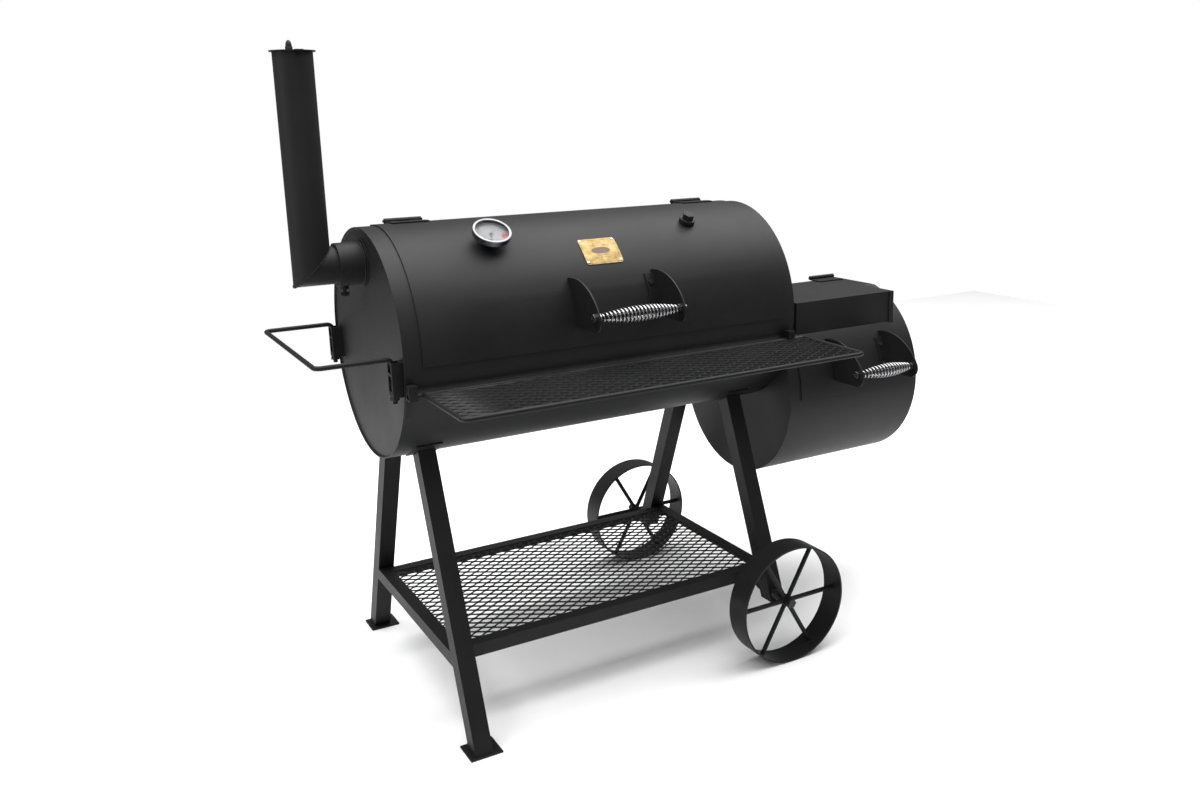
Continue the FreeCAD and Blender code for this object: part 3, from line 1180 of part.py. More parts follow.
cook_chamber()
main_lid()
firebox()
firebox_lid()
handle("lid", "main_handle_x", "main_handle_len", "handle_y", "shell_r", "axis_z")
handle("firebox", "fire_handle_x", "fire_handle_len", "fire_handle_y", "fire_r", "fire_z")
gauge()
port_and_badge()
hinges()
smokestack()
legs()
wheel("wheel_front", -1)
wheel("wheel_rear", 1)
lower_shelf()
front_shelf()
tow_handle()
frame_bolts()
fire_door()
grates()
doc.recompute()

for thing in doc.Objects:
    if "Invalid" in thing.State or "Error" in thing.State:
        raise RuntimeError(f"{thing.Label} ({thing.Name}) did not build: {thing.State}")
for thing in nodes:
    if thing.Shape.isNull() or not thing.Shape.isValid() or not thing.Shape.Solids:
        raise RuntimeError(f"{thing.Label} has no valid solid")
whole = FreeCAD.BoundBox()
for thing in nodes:
    whole.add(thing.Shape.BoundBox)
    thing.Shape.exportStep(f"parts/{thing.Label}.step")
    print(thing.Label, len(thing.Shape.Solids), round(thing.Shape.Volume))
print("whole object", whole)
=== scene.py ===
import json
import math

import bmesh
import bpy
from mathutils import Matrix, Vector


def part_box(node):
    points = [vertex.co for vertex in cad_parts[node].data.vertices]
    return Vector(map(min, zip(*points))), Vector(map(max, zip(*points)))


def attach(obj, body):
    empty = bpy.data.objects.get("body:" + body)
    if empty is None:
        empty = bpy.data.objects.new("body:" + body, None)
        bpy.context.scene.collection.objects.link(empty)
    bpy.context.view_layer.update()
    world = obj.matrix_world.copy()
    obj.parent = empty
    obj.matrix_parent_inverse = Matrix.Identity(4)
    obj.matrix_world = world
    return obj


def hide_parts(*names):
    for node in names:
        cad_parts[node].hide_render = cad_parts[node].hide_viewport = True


# The looks of an offset smoker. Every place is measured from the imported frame: the chamber's left
# rim, its axis and the floor are the origin that the camera and the loose details are given from.

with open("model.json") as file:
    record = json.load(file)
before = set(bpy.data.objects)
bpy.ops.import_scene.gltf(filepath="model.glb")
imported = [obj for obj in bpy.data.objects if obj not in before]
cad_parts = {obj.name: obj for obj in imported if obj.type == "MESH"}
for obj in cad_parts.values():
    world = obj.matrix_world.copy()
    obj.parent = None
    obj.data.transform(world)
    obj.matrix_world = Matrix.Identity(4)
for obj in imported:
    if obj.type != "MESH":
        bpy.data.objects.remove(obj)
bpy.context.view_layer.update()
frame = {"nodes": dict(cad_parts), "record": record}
nodes = frame["nodes"]

MM = 0.001
shell_low, shell_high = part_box("chamber_shell")
ORIGIN = Vector((shell_low.x, (shell_low.y + shell_high.y) / 2, 0))
AXIS_Z = (shell_low.z + shell_high.z) / 2
SHELL_R = (shell_high.z - shell_low.z) / 2
X_AXIS = Vector((1, 0, 0))


def spot(x, y, z):
    """A point given in millimetres from the chamber's left rim, its axis and the floor."""
    return ORIGIN + Vector((x, y, z)) * MM


def middle(node):
    low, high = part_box(node)
    return (low + high) / 2


def outward(degrees):
    """Unit vector in the barrels' section, this many degrees above the front."""
    turn = math.radians(degrees)
    return Vector((0, -math.cos(turn), math.sin(turn)))


# Materials ---------------------------------------------------------------------------------------

class Shader:
    """A small helper round a material's node tree."""

    def __init__(self, name):
        self.material = bpy.data.materials.new(name)
        self.material.use_nodes = True
        self.tree = self.material.node_tree
        self.surface = self.tree.nodes["Principled BSDF"]
        self.place = self.add("ShaderNodeTexCoord").outputs["Object"]

    def add(self, kind, **settings):
        node = self.tree.nodes.new(kind)
        for key, value in settings.items():
            setattr(node, key, value)
        return node

    def link(self, source, target):
        self.tree.links.new(source, target)

    def set(self, **values):
        for key, value in values.items():
            self.surface.inputs[key.replace("_", " ")].default_value = value

    def noise(self, scale, detail=2.0, roughness=0.5, stretch=None):
        """Fractal noise over the object, finer with a larger scale."""
        node = self.add("ShaderNodeTexNoise")
        node.inputs["Scale"].default_value = scale
        node.inputs["Detail"].default_value = detail
        node.inputs["Roughness"].default_value = roughness
        source = self.place
        if stretch:
            mapping = self.add("ShaderNodeMapping")
            mapping.inputs["Scale"].default_value = stretch
            self.link(source, mapping.inputs["Vector"])
            source = mapping.outputs["Vector"]
        self.link(source, node.inputs["Vector"])
        return node.outputs["Fac"]

    def ramp(self, source, stops):
        """A colour ramp of (position, colour) stops."""
        node = self.add("ShaderNodeValToRGB")
        elements = node.color_ramp.elements
        elements[0].position, elements[0].color = stops[0][0], (*stops[0][1], 1)
        elements[1].position, elements[1].color = stops[-1][0], (*stops[-1][1], 1)
        for position, colour in stops[1:-1]:
            elements.new(position).color = (*colour, 1)
        self.link(source, node.inputs["Fac"])
        return node.outputs["Color"]

    def span(self, source, low, high, from_low=0.3, from_high=0.7):
        """Carries a value from one range to another."""
        node = self.add("ShaderNodeMapRange")
        node.inputs["From Min"].default_value = from_low
        node.inputs["From Max"].default_value = from_high
        node.inputs["To Min"].default_value = low
        node.inputs["To Max"].default_value = high
        self.link(source, node.inputs["Value"])
        return node.outputs["Result"]

    def mix(self, factor, first, second):
        node = self.add("ShaderNodeMix", data_type="RGBA")
        self.link(factor, node.inputs["Factor"])
        for value, name in ((first, "A"), (second, "B")):
            socket = next(s for s in node.inputs if s.name == name and s.type == "RGBA")
            if isinstance(value, tuple):
                socket.default_value = (*value, 1)
            else:
                self.link(value, socket)
        return next(s for s in node.outputs if s.type == "RGBA")

    def edge(self, radius):
        """How near the surface is to an edge, from a rounded normal: 0 on a face, 1 at the edge."""
        bevel = self.add("ShaderNodeBevel", samples=4)
        bevel.inputs["Radius"].default_value = radius
        geometry = self.add("ShaderNodeNewGeometry")
        dot = self.add("ShaderNodeVectorMath", operation="DOT_PRODUCT")
        self.link(bevel.outputs["Normal"], dot.inputs[0])
        self.link(geometry.outputs["Normal"], dot.inputs[1])
        return self.span(dot.outputs["Value"], 1, 0, 0.80, 0.995), bevel.outputs["Normal"]

    def bump(self, layers, normal=None):
        """Stacks (height, distance, strength) layers into the surface's normal."""
        for height, distance, strength in layers:
            node = self.add("ShaderNodeBump")
            node.inputs["Distance"].default_value = distance
            node.inputs["Strength"].default_value = strength
            self.link(height, node.inputs["Height"])
            if normal is not None:
                self.link(normal, node.inputs["Normal"])
            normal = node.outputs["Normal"]
        self.link(normal, self.surface.inputs["Normal"])


def black_paint(name, dark, light, rough_low, rough_high):
    """High-temperature paint: a soft mottle, a powdery grain, orange peel and slightly rubbed edges."""
    s = Shader(name)
    worn = (0.040, 0.039, 0.038)
    mottle = s.noise(5, 4, 0.6)
    grain = s.noise(1400, 2)
    peel = s.noise(260, 2)
    edge, rounded = s.edge(1.2 * MM)
    scuff = s.noise(90, 5, 0.7)
    wear = s.add("ShaderNodeMath", operation="MULTIPLY")
    s.link(edge, wear.inputs[0])
    s.link(s.span(scuff, 0, 0.6, 0.45, 0.65), wear.inputs[1])
    colour = s.ramp(mottle, [(0.3, dark), (0.7, light)])
    s.link(s.mix(wear.outputs[0], colour, worn), s.surface.inputs["Base Color"])
    s.link(s.span(mottle, rough_low, rough_high), s.surface.inputs["Roughness"])
    s.bump([(peel, 0.15 * MM, 0.25), (grain, 0.06 * MM, 0.35)], rounded)
    s.set(Metallic=0.0)
    s.surface.inputs["Specular IOR Level"].default_value = 0.22
    return s.material


def bright_metal(name, dark, light, rough_low, rough_high, grain_scale=500, stretch=None):
    """Plated or polished metal with faint scratches and smears."""
    s = Shader(name)
    smear = s.noise(30, 4, 0.6)
    grain = s.noise(grain_scale, 3, 0.6, stretch)
    edge, rounded = s.edge(0.5 * MM)
    s.link(s.ramp(smear, [(0.3, dark), (0.7, light)]), s.surface.inputs["Base Color"])
    s.link(s.span(grain, rough_low, rough_high), s.surface.inputs["Roughness"])
    s.bump([(grain, 0.02 * MM, 0.3)], rounded)
    s.set(Metallic=1.0)
    return s.material


def brass():
    """Brushed brass, finely streaked along the badge, with warm tarnish in soft random patches."""
    s = Shader("badge_brass")
    streak = s.noise(60, 4, 0.7, (1, 30, 30))
    tarnish = s.noise(70, 4, 0.6)
    colour = s.ramp(tarnish, [(0.3, (0.17, 0.115, 0.045)), (0.7, (0.32, 0.24, 0.11))])
    s.link(colour, s.surface.inputs["Base Color"])
    s.link(s.span(streak, 0.38, 0.58), s.surface.inputs["Roughness"])
    s.bump([(streak, 0.03 * MM, 0.5)])
    s.set(Metallic=1.0)
    return s.material


def enamel(name, colour, darker):
    """A smooth printed or enamelled surface with a faint unevenness."""
    s = Shader(name)
    rough = 0.35
    cloud = s.noise(120, 3, 0.6)
    s.link(s.ramp(cloud, [(0.35, darker), (0.65, colour)]), s.surface.inputs["Base Color"])
    s.link(s.span(cloud, rough, rough + 0.12), s.surface.inputs["Roughness"])
    s.bump([(s.noise(900), 0.01 * MM, 0.3)])
    return s.material


def clear_glass():
    """Thin clear glass with a little dust in its gloss."""
    s = Shader("gauge_glass")
    dust = s.noise(300, 3)
    s.set(Base_Color=(0.96, 0.98, 0.98, 1))
    s.surface.inputs["Transmission Weight"].default_value = 1.0
    s.surface.inputs["IOR"].default_value = 1.1
    s.link(s.span(dust, 0.02, 0.09), s.surface.inputs["Roughness"])
    return s.material


def seasoned_steel():
    """Cooking bars with a brown-black fired finish and light rubbed tops."""
    s = Shader("seasoned_steel")
    blotch = s.noise(40, 5, 0.65)
    grain = s.noise(700, 3)
    edge, rounded = s.edge(0.8 * MM)
    colour = s.ramp(blotch, [(0.3, (0.020, 0.017, 0.015)), (0.7, (0.060, 0.052, 0.046))])
    s.link(s.mix(s.span(edge, 0, 0.5, 0, 1), colour, (0.16, 0.15, 0.14)), s.surface.inputs["Base Color"])
    s.link(s.span(blotch, 0.35, 0.6), s.surface.inputs["Roughness"])
    s.bump([(grain, 0.1 * MM, 0.4)], rounded)
    s.set(Metallic=0.6)
    return s.material


def floor_material():
    """A matt, nearly white floor with a faint unevenness."""
    s = Shader("studio_floor")
    cloud = s.noise(1.5, 3)
    colour = s.ramp(cloud, [(0.3, (0.88, 0.88, 0.88)), (0.7, (0.90, 0.90, 0.90))])
    s.link(colour, s.surface.inputs["Base Color"])
    s.link(s.span(cloud, 0.7, 0.8), s.surface.inputs["Roughness"])
    return s.material


PAINT = black_paint("barrel_paint", (0.0080, 0.0080, 0.0084), (0.0115, 0.0115, 0.012), 0.46, 0.56)
FRAME_PAINT = black_paint("frame_paint", (0.0050, 0.0050, 0.0053), (0.0080, 0.0080, 0.0084), 0.46, 0.56)
DARK_PAINT = black_paint("bracket_paint", (0.0045, 0.0045, 0.005), (0.0075, 0.0075, 0.008), 0.50, 0.60)
MESH_PAINT = black_paint("mesh_paint", (0.009, 0.009, 0.0095), (0.016, 0.016, 0.0165), 0.44, 0.54)
BLACK_OXIDE = black_paint("black_oxide", (0.010, 0.010, 0.010), (0.022, 0.021, 0.020), 0.32, 0.44)
CHROME = bright_metal("coil_chrome", (0.26, 0.26, 0.265), (0.42, 0.42, 0.43), 0.14, 0.30)
ZINC = bright_metal("zinc_plate", (0.36, 0.36, 0.35), (0.50, 0.50, 0.48), 0.24, 0.40)
BEZEL = bright_metal("bezel_steel", (0.14, 0.14, 0.145), (0.24, 0.24, 0.245), 0.20, 0.34, 300, (1, 1, 12))
BRASS = brass()
BRONZE_INK = enamel("badge_ink", (0.085, 0.026, 0.012), (0.055, 0.016, 0.008))
DIAL = enamel("dial_white", (0.20, 0.185, 0.20), (0.15, 0.14, 0.15))
DIAL_RING = enamel("dial_ring", (0.10, 0.10, 0.105), (0.07, 0.07, 0.075))
DIAL_INK = enamel("dial_ink", (0.030, 0.030, 0.032), (0.020, 0.020, 0.022))
DIAL_RED = enamel("dial_red", (0.32, 0.015, 0.030), (0.25, 0.010, 0.020))
GLASS = clear_glass()
BARS = seasoned_steel()

FINISHES = {
    "paint": PAINT, "mesh_paint": MESH_PAINT, "bolt_black": BLACK_OXIDE, "chrome": CHROME, "zinc": ZINC,
    "badge_brass": BRASS, "bezel": BEZEL, "dial": DIAL, "needle": DIAL_INK, "lens": GLASS, "grate": BARS}
DARK = ("handle_brackets", "hinge_leaves", "fixed_leaves", "tow_handle", "shelf_brackets")
TUBULAR = ("leg_", "wheel_", "lower_shelf_frame", "front_shelf_", "tow_handle", "foot_plates")


def dress_frame():
    """Gives each carried-over node its finish and smooth shading on its round faces."""
    for part in frame["record"]["subparts"]:
        thing = nodes[part["node"]]
        finish = FINISHES[part["material_slot"]]
        if finish is PAINT and part["node"].startswith(TUBULAR):
            finish = FRAME_PAINT
        if part["node"].endswith(DARK):
            finish = DARK_PAINT
        if part["node"].endswith(("handle_rod", "gauge_stem")):
            finish = BLACK_OXIDE
        thing.data.materials.clear()
        thing.data.materials.append(finish)
        for face in thing.data.polygons:
            face.use_smooth = True
        thing.data.set_sharp_from_angle(angle=math.radians(25))
    for prefix in ("lid", "firebox"):
        plate_end_nuts(nodes[f"{prefix}_handle_fasteners"], middle(f"{prefix}_handle_rod"))


def plate_end_nuts(fasteners, rod):
    """The nuts on the rod are bright plated; the bolts through the bent tabs stay black."""
    fasteners.data.materials.clear()
    fasteners.data.materials.append(CHROME)
    fasteners.data.materials.append(BLACK_OXIDE)
    for face in fasteners.data.polygons:
        away = face.center - rod
        face.material_index = 0 if math.hypot(away.y, away.z) < 14 * MM else 1


# Pieces ------------------------------------------------------------------------------------------

def piece(name, mesh, finish, body, slot, *replaced):
    """Puts a finished mesh in the scene, riding on a body."""
    thing = bpy.data.objects.new(name, mesh)
    bpy.context.scene.collection.objects.link(thing)
    mesh.materials.append(finish)
    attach(thing, body)
    if replaced:
        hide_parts(*replaced)


def finished(name, bm, smooth=True):
    bmesh.ops.recalc_face_normals(bm, faces=bm.faces)
    mesh = bpy.data.meshes.new(name)
    bm.to_mesh(mesh)
    bm.free()
    for face in mesh.polygons:
        face.use_smooth = smooth
    if smooth:
        mesh.set_sharp_from_angle(angle=math.radians(40))
    return mesh


def sweep(bm, path, outline, closed=False, first_side=None):
    """Carries an outline of (side, rise) points along a path, without twisting it."""
    count = len(path)
    tangents = []
    for i in range(count):
        before = path[(i - 1) % count] if closed or i > 0 else path[i]
        after = path[(i + 1) % count] if closed or i < count - 1 else path[i]
        tangents.append((after - before).normalized())
    start = first_side or Vector((0, 0, 1)).cross(tangents[0])
    if start.length < 1e-6:
        start = Vector((0, 1, 0))
    side = (start - tangents[0] * start.dot(tangents[0])).normalized()
    rings = []
    for i in range(count):
        if i:
            side = side - tangents[i] * side.dot(tangents[i])
            side.normalize()
        rise = tangents[i].cross(side)
        rings.append([bm.verts.new(path[i] + side * u + rise * v) for u, v in outline])
    size = len(outline)
    last = count if closed else count - 1
    for i in range(last):
        a, b = rings[i], rings[(i + 1) % count]
        for k in range(size):
            bm.faces.new((a[k], a[(k + 1) % size], b[(k + 1) % size], b[k]))
    if not closed:
        bm.faces.new(rings[0])
        bm.faces.new(rings[-1])


def ring_outline(radius, sides):
    turns = [math.tau * k / sides for k in range(sides)]
    return [(radius * math.cos(turn), radius * math.sin(turn)) for turn in turns]


def expanded_metal(name, node, rise):
    """Raised expanded metal: zigzag strands that meet at flat bonds, one row offset from the next."""
    long_way = 41 * MM
    short_way = 25.5 * MM
    strand = 3.4 * MM
    thick = 1.8 * MM
    bond = 0.16
    tilt = 0.5 * MM
    low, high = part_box(node)
    z = low.z + rise
    rows = round((high.y - low.y) / (short_way / 2))
    pitch = (high.y - low.y - strand) / rows
    steps = round((high.x - low.x) / long_way)
    period = (high.x - low.x) / steps
    amplitude = pitch / 2 - strand / 4
    corners = ((0, -1), (bond, -1), (0.5, 1), (0.5 + bond, 1))
    half, tall = strand / 2, thick / 2
    outline = [(-half, -tall), (half, -tall), (half, tall), (-half, tall)]
    bm = bmesh.new()
    for row in range(rows + 1):
        sign = 1 if row % 2 else -1
        y = low.y + strand / 2 + row * pitch
        path = []
        for step in range(steps):
            for share, level in corners:
                offset = sign * level * amplitude
                inside = min(max(y + offset, low.y + half), high.y - half)
                path.append(Vector((low.x + (step + share) * period, inside, z - sign * level * tilt)))
        path.append(Vector((high.x, min(max(y - sign * amplitude, low.y + half), high.y - half),
                            z + sign * tilt)))
        sweep(bm, path, outline, first_side=Vector((0, 1, 0.35)))
    piece(name, finished(name, bm, smooth=False), MESH_PAINT, "frame", "mesh_paint", node)


def coil_grip(name, node, rod_node, body, coils):
    """A close-wound spring grip that swells in the middle."""
    low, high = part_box(node)
    centre = middle(rod_node)
    wire = 2.2 * MM
    end_r = 8.4 * MM - wire
    mid_r = (high.z - low.z) / 2 - wire
    start, length = low.x + wire, high.x - low.x - 2 * wire
    steps = 28
    path = []
    for i in range(coils * steps + 1):
        share = i / (coils * steps)
        turn = math.tau * i / steps
        radius = end_r + (mid_r - end_r) * math.sin(math.pi * share) ** 0.9
        path.append(Vector((start + share * length,
                            centre.y + radius * math.cos(turn), centre.z + radius * math.sin(turn))))
    bm = bmesh.new()
    sweep(bm, path, ring_outline(wire, 12))
    piece(name, finished(name, bm), CHROME, body, "chrome", node)


# Gauge -------------------------------------------------------------------------------------------

# The gauge stands this many degrees above the front. Its case is 13 mm deep about its middle, and
# the dial's face is 3 mm above the case's back. Dial angles run clockwise from the top.
GAUGE_DEG = 57.6
DIAL_TOP = (-13 / 2 + 3) * MM
DIAL_START = -160
DIAL_SWEEP = 270


def gauge_frame():
    """The dial's centre, its across and up directions, its outward normal and its radius."""
    normal = outward(GAUGE_DEG)
    up = outward(GAUGE_DEG + 90)
    low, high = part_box("gauge_dial")
    radius = (high.x - low.x) / 2
    centre = Vector(((low.x + high.x) / 2, 0, 0))
    middle_of_case = middle("gauge_case")
    centre.y, centre.z = middle_of_case.y, middle_of_case.z
    return centre, X_AXIS, up, normal, radius


def dial_piece(name, finish, build):
    """A thin raised print on the dial; build draws it in the dial's own plane."""
    centre, across, up, normal, radius = gauge_frame()
    bm = bmesh.new()
    build(bm, radius)
    basis = Matrix((across, up, normal)).transposed().to_4x4()
    bm.transform(Matrix.Translation(centre + normal * DIAL_TOP) @ basis)
    piece(name, finished(name, bm, smooth=False), finish, "lid", "dial")


def strip(bm, inner, outer, start_deg, end_deg, height, steps=48):
    """A flat arc band. Angles run clockwise from the top."""
    def point(radius, angle, z):
        turn = math.radians(90 - angle)
        return bm.verts.new((radius * math.cos(turn), radius * math.sin(turn), z))

    rows = []
    for i in range(steps + 1):
        angle = start_deg + (end_deg - start_deg) * i / steps
        rows.append([point(inner, angle, 0), point(outer, angle, 0), point(outer, angle, height),
                     point(inner, angle, height)])
    for a, b in zip(rows, rows[1:]):
        for k in range(4):
            bm.faces.new((a[k], a[(k + 1) % 4], b[(k + 1) % 4], b[k]))
    bm.faces.new(rows[0])
    bm.faces.new(rows[-1])


def dial_ticks(bm, radius):
    """Minor and major ticks round three quarters of the dial."""
    first, last, count = DIAL_START, DIAL_START + DIAL_SWEEP, 54
    for i in range(count + 1):
        angle = first + (last - first) * i / count
        major = i % 9 == 0
        inner = radius * (0.70 if major else 0.76)
        width = 1.3 if major else 0.7
        strip(bm, inner, radius * 0.84, angle - width, angle + width, 0.15 * MM, steps=1)


def dial_numbers():
    """Plain numbers beside the major ticks."""
    centre, across, up, normal, radius = gauge_frame()
    basis = Matrix((across, up, normal)).transposed().to_4x4()
    for i in range(7):
        angle = math.radians(90 - DIAL_START - DIAL_SWEEP * i / 6)
        text = bpy.data.curves.new(f"dial_number_{i}", "FONT")
        text.body = str(100 * (i + 1))
        text.size = 4.6 * MM
        text.align_x = "CENTER"
        text.align_y = "CENTER"
        text.extrude = 0.05 * MM
        thing = bpy.data.objects.new(f"dial_number_{i}", text)
        bpy.context.scene.collection.objects.link(thing)
        place = Vector((math.cos(angle), math.sin(angle), 0)) * radius * 0.56
        thing.matrix_world = (Matrix.Translation(centre + normal * (DIAL_TOP + 0.1 * MM)) @ basis
                              @ Matrix.Translation(place))
        mesh = bpy.data.meshes.new_from_object(thing.evaluated_get(bpy.context.evaluated_depsgraph_get()))
        mesh.transform(thing.matrix_world)
        bpy.data.objects.remove(thing)
        mesh.materials.clear()
        piece(f"dial_number_{i}", mesh, DIAL_INK, "lid", "dial")


def gauge_details():
    dial_piece("dial_ring", DIAL_RING, lambda bm, r: strip(bm, r * 0.86, r * 0.965, 0, 360, 0.2 * MM, 96))
    dial_piece("dial_ticks", DIAL_INK, dial_ticks)
    dial_piece("dial_hot_zone", DIAL_RED,
               lambda bm, r: strip(bm, r * 0.58, r * 0.84, 96, 128, 0.25 * MM, 16))
    dial_piece("dial_centre", DIAL_RING, lambda bm, r: strip(bm, r * 0.05, r * 0.16, 0, 360, 0.4 * MM, 32))
    dial_numbers()


# Badge -------------------------------------------------------------------------------------------

INK_TALL = 0.12 * MM


def badge_patch(bm, x_low, x_high, low_deg, high_deg, inner, outer, corner=0.0, steps=14):
    """A patch of sheet bent round the lid, with cut corners."""
    def point(x, degrees, radius):
        return bm.verts.new(Vector((x, ORIGIN.y, AXIS_Z)) + outward(degrees) * radius)

    columns = []
    for i in range(steps + 1):
        share = i / steps
        degrees = low_deg + (high_deg - low_deg) * share
        near = min(share, 1 - share) * (high_deg - low_deg) * math.radians(1) * outer
        trim = max(0.0, corner - near)
        columns.append([point(x_low + trim, degrees, inner), point(x_high - trim, degrees, inner),
                        point(x_high - trim, degrees, outer), point(x_low + trim, degrees, outer)])
    for a, b in zip(columns, columns[1:]):
        for k in range(4):
            bm.faces.new((a[k], a[(k + 1) % 4], b[(k + 1) % 4], b[k]))
    bm.faces.new(columns[0])
    bm.faces.new(columns[-1])


def badge_details():
    """A brass plate with a raised rim, a plain dark oval and ruled lines instead of words."""
    low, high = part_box("badge")
    inner, outer = SHELL_R + 2.85 * MM, SHELL_R + 4.35 * MM
    low_deg = math.degrees(math.asin((low.z - AXIS_Z) / inner))
    high_deg = math.degrees(math.asin((high.z - AXIS_Z) / outer))
    bm = bmesh.new()
    badge_patch(bm, low.x, high.x, low_deg, high_deg, inner, outer, 3 * MM)
    piece("badge_plate", finished("badge_plate", bm), BRASS, "lid", "badge_brass", "badge")
    rim = 1.6 * MM
    rim_deg = math.degrees(rim / outer)
    inset, inset_deg = 3.0 * MM, math.degrees(3.0 * MM / outer)
    top = outer + 0.35 * MM
    bm = bmesh.new()
    left, right = low.x + inset, high.x - inset
    bottom_deg, top_deg = low_deg + inset_deg, high_deg - inset_deg
    badge_patch(bm, left, left + rim, bottom_deg, top_deg, outer, top)
    badge_patch(bm, right - rim, right, bottom_deg, top_deg, outer, top)
    badge_patch(bm, left, right, bottom_deg, bottom_deg + rim_deg, outer, top, steps=1)
    badge_patch(bm, left, right, top_deg - rim_deg, top_deg, outer, top, steps=1)
    piece("badge_rim", finished("badge_rim", bm), BRASS, "lid", "badge_brass")
    bm = bmesh.new()
    wide = right - left
    for share, span, thick in ((0.20, 0.46, 0.8), (0.29, 0.30, 0.5), (0.72, 0.60, 0.7)):
        degrees = bottom_deg + share * (top_deg - bottom_deg)
        start = (left + right) / 2 - wide * span / 2
        badge_patch(bm, start, start + wide * span, degrees, degrees + math.degrees(thick * MM / outer),
                    outer, outer + INK_TALL, steps=1)
    badge_oval(bm, (left + right) / 2, (bottom_deg + top_deg) / 2, wide * 0.27, 9 * MM, outer)
    piece("badge_ink", finished("badge_ink", bm), BRONZE_INK, "lid", "badge_brass")


def badge_oval(bm, x, degrees, half_wide, half_tall, radius, sides=40):
    """A flat oval printed on the badge."""
    def ring(lift):
        verts = []
        for k in range(sides):
            turn = math.tau * k / sides
            angle = degrees + math.degrees(half_tall * math.sin(turn) / radius)
            on_axis = Vector((x + half_wide * math.cos(turn), ORIGIN.y, AXIS_Z))
            verts.append(bm.verts.new(on_axis + outward(angle) * (radius + lift)))
        return verts

    bottom, top = ring(0), ring(INK_TALL)
    for k in range(sides):
        bm.faces.new((bottom[k], bottom[(k + 1) % sides], top[(k + 1) % sides], top[k]))
    bm.faces.new(bottom)
    bm.faces.new(top)


def lathe(bm, profile, centre, axis, sides=32):
    """Turns a profile of (radius, height) points about an axis."""
    across = axis.orthogonal().normalized()
    other = axis.cross(across)
    rings = []
    for radius, height in profile:
        ring = []
        for k in range(sides):
            turn = math.tau * k / sides
            ring.append(bm.verts.new(
                centre + axis * height + (across * math.cos(turn) + other * math.sin(turn)) * radius))
        rings.append(ring)
    for a, b in zip(rings, rings[1:]):
        for k in range(sides):
            bm.faces.new((a[k], a[(k + 1) % sides], b[(k + 1) % sides], b[k]))
    bm.faces.new(rings[0])
    bm.faces.new(rings[-1])


def dome(radius, height, steps=6):
    """A dome's profile, which stops just short of its axis."""
    turns = [math.pi / 2 * i / steps for i in range(steps + 1)]
    return [(radius * math.cos(turn) + 0.02 * MM, height * math.sin(turn)) for turn in turns]


def badge_heads():
    """Low domed heads at the badge's corners."""
    low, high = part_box("badge_rivets")
    bm = bmesh.new()
    seat_r, head_mid_r = SHELL_R + 3.6 * MM, SHELL_R + 4.2 * MM
    head_r, head_edge, head_dome = 3.6 * MM, 0.8 * MM, 1.2 * MM
    inset = 1.4 * MM
    for x in (low.x + inset, high.x - inset):
        for z in (low.z + inset, high.z - inset):
            axis = outward(math.degrees(math.asin((z - AXIS_Z) / head_mid_r)))
            centre = Vector((x, ORIGIN.y, AXIS_Z)) + axis * seat_r
            profile = [(head_r, 0)] + [(r, h + head_edge) for r, h in dome(head_r, head_dome)]
            lathe(bm, profile, centre, axis)
    piece("badge_heads", finished("badge_heads", bm), ZINC, "lid", "badge_brass", "badge_rivets")


def acorn_nut():
    """The stack lid's pivot: a bolt with a washer and a tall domed nut."""
    low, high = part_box("cap_bolt")
    plate_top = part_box("stack_cap")[1].z + 0.3 * MM
    centre = Vector(((low.x + high.x) / 2, (low.y + high.y) / 2, plate_top))
    top = high.z - plate_top
    up = Vector((0, 0, 1))
    washer_r, nut_r, shank_r = 8 * MM, 7.4 * MM, 4 * MM
    dome_base = 9.4 * MM
    bm = bmesh.new()
    lathe(bm, [(washer_r, 0), (washer_r, 1.6 * MM)], centre, up)
    nut = bmesh.new()
    hexagon = [(7.2 * MM, 1.7 * MM), (nut_r, 2.4 * MM), (nut_r, 8.4 * MM), (6.6 * MM, dome_base)]
    lathe(nut, hexagon, centre, up, sides=6)
    lathe(nut, [(r, dome_base + h) for r, h in dome(6.4 * MM, top - dome_base)], centre, up)
    lathe(nut, [(shank_r, low.z - plate_top), (shank_r, 0.1 * MM)], centre, up)
    mesh = finished("cap_nut_parts", nut)
    bm.from_mesh(mesh)
    bpy.data.meshes.remove(mesh)
    piece("cap_acorn_nut", finished("cap_acorn_nut", bm), BLACK_OXIDE, "frame", "bolt_black", "cap_bolt")


# Welds -------------------------------------------------------------------------------------------

def weld_bead(name, path, radius):
    """A rippled bead along a closed seam, half sunk in the corner it fills."""
    bm = bmesh.new()
    size = 8
    sweep(bm, path, ring_outline(radius, size), closed=True)
    along = 0.0
    bm.verts.ensure_lookup_table()
    for i, point in enumerate(path):
        if i:
            along += (point - path[i - 1]).length
        swell = 1 + 0.18 * math.sin(along / (1.6 * MM)) + 0.08 * math.sin(along / (0.7 * MM) + 1)
        for k in range(size):
            vert = bm.verts[i * size + k]
            vert.co = point + (vert.co - point) * swell
    piece(name, finished(name, bm), PAINT, "frame", "paint")


def circle_path(centre, across, up, radius, count):
    turns = [math.tau * i / count for i in range(count)]
    return [centre + across * radius * math.cos(turn) + up * radius * math.sin(turn) for turn in turns]


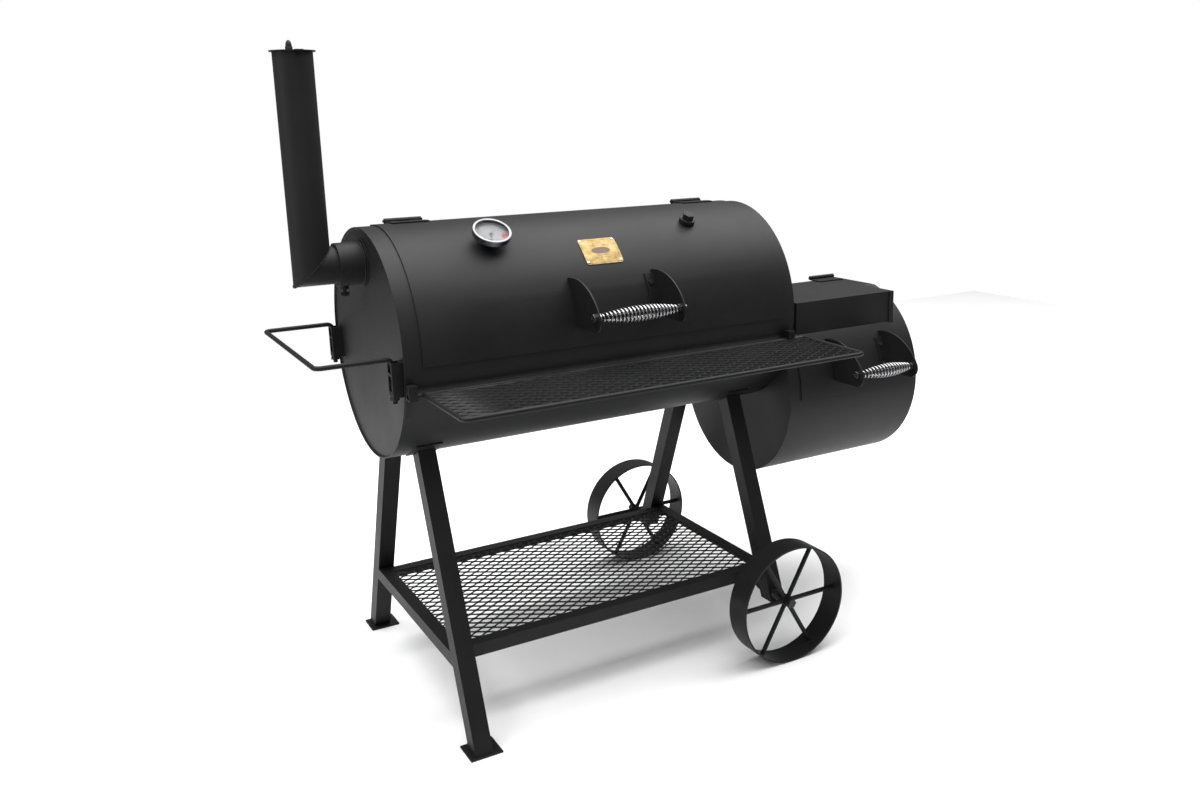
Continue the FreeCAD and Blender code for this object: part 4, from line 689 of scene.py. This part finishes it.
def welds():
    """Beads round the left disc, along the stack's mitre and round the collar's root."""
    y_axis, z_axis = Vector((0, 1, 0)), Vector((0, 0, 1))
    disc_low, disc_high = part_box("chamber_end_left")
    centre = Vector((disc_low.x, ORIGIN.y, AXIS_Z))
    disc_r = (disc_high.z - disc_low.z) / 2 - 0.6 * MM
    weld_bead("weld_left_disc", circle_path(centre, y_axis, z_axis, disc_r, 900), 1.8 * MM)
    pipe_low, pipe_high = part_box("smokestack")
    pipe_r = (pipe_high.y - pipe_low.y) / 2
    elbow = Vector((pipe_low.x + pipe_r, ORIGIN.y, pipe_low.z + pipe_r))
    mitre = [elbow + Vector((math.cos(t), math.sin(t), math.cos(t))) * pipe_r
             for t in (math.tau * i / 360 for i in range(360))]
    weld_bead("weld_stack_mitre", mitre, 1.5 * MM)
    root = Vector((shell_low.x - 1.6 * MM, ORIGIN.y, elbow.z))
    weld_bead("weld_collar", circle_path(root, y_axis, z_axis, pipe_r + 7.2 * MM, 260), 1.4 * MM)


# Stage -------------------------------------------------------------------------------------------

def camera():
    """The camera stands ahead and to the left, a little above the chamber, and looks down at it."""
    yaw, pitch, roll = 0.5289, 0.2331, -0.0189
    forward = Vector((math.sin(yaw) * math.cos(pitch), math.cos(yaw) * math.cos(pitch), -math.sin(pitch)))
    right = Vector((math.cos(yaw), -math.sin(yaw), 0))
    up = right.cross(forward)
    right, up = (right * math.cos(roll) + up * math.sin(roll), up * math.cos(roll) - right * math.sin(roll))
    data = bpy.data.cameras.new("camera")
    data.sensor_width = 36
    data.lens = 32.378
    data.shift_x = -0.0374
    data.shift_y = -0.0287
    data.clip_end = 100
    thing = bpy.data.objects.new("camera", data)
    bpy.context.scene.collection.objects.link(thing)
    basis = Matrix((right, up, -forward)).transposed().to_4x4()
    thing.matrix_world = Matrix.Translation(spot(-641.04, -2301.24, 1321.86)) @ basis
    bpy.context.scene.camera = thing


def softbox(name, place, target, wide, tall, power):
    data = bpy.data.lights.new(name, "AREA")
    data.shape = "RECTANGLE"
    data.size = wide
    data.size_y = tall
    data.energy = power
    thing = bpy.data.objects.new(name, data)
    bpy.context.scene.collection.objects.link(thing)
    thing.location = place
    thing.rotation_euler = (target - place).to_track_quat("-Z", "Y").to_euler()


def studio():
    """A pale floor under the object, a wide overhead light, left and front fills and a white backdrop."""
    bm = bmesh.new()
    bmesh.ops.create_grid(bm, x_segments=8, y_segments=8, size=1)
    floor = bpy.data.objects.new("studio_floor", finished("studio_floor", bm))
    bpy.context.scene.collection.objects.link(floor)
    floor.data.materials.append(floor_material())
    floor.data.transform(Matrix.Diagonal((4.2, 2.3, 1, 1)))
    floor.location = (0.5, 0.9, -0.2 * MM)
    target = Vector((0.2, 0.6, 0.8))
    softbox("top_light", Vector((0.2, 0.2, 4.6)), target, wide=9.0, tall=5.0, power=700)
    softbox("left_light", Vector((-4.5, 0.2, 2.0)), target, wide=2.0, tall=2.4, power=30)
    softbox("front_light", Vector((-1.5, -5.0, 3.6)), target, wide=2.4, tall=1.2, power=40)
    world = bpy.data.worlds.new("studio")
    bpy.context.scene.world = world
    world.use_nodes = True
    tree = world.node_tree
    back = tree.nodes["Background"]
    path = tree.nodes.new("ShaderNodeLightPath")
    level = tree.nodes.new("ShaderNodeMapRange")
    level.inputs["To Min"].default_value = 0.22
    level.inputs["To Max"].default_value = 1.0
    tree.links.new(path.outputs["Is Camera Ray"], level.inputs["Value"])
    tree.links.new(level.outputs["Result"], back.inputs["Strength"])
    back.inputs["Color"].default_value = (1, 1, 1, 1)
    bpy.context.scene.view_settings.view_transform = "Standard"


dress_frame()
expanded_metal("lower_shelf_expanded_metal", "lower_shelf_mesh", 0.4 * MM)
expanded_metal("front_shelf_expanded_metal", "front_shelf_mesh", 1.0 * MM)
coil_grip("lid_coil_grip", "lid_handle_spring", "lid_handle_rod", "lid", 21)
coil_grip("firebox_coil_grip", "firebox_handle_spring", "firebox_handle_rod", "firebox_lid", 16)
gauge_details()
badge_details()
badge_heads()
acorn_nut()
welds()
camera()
studio()
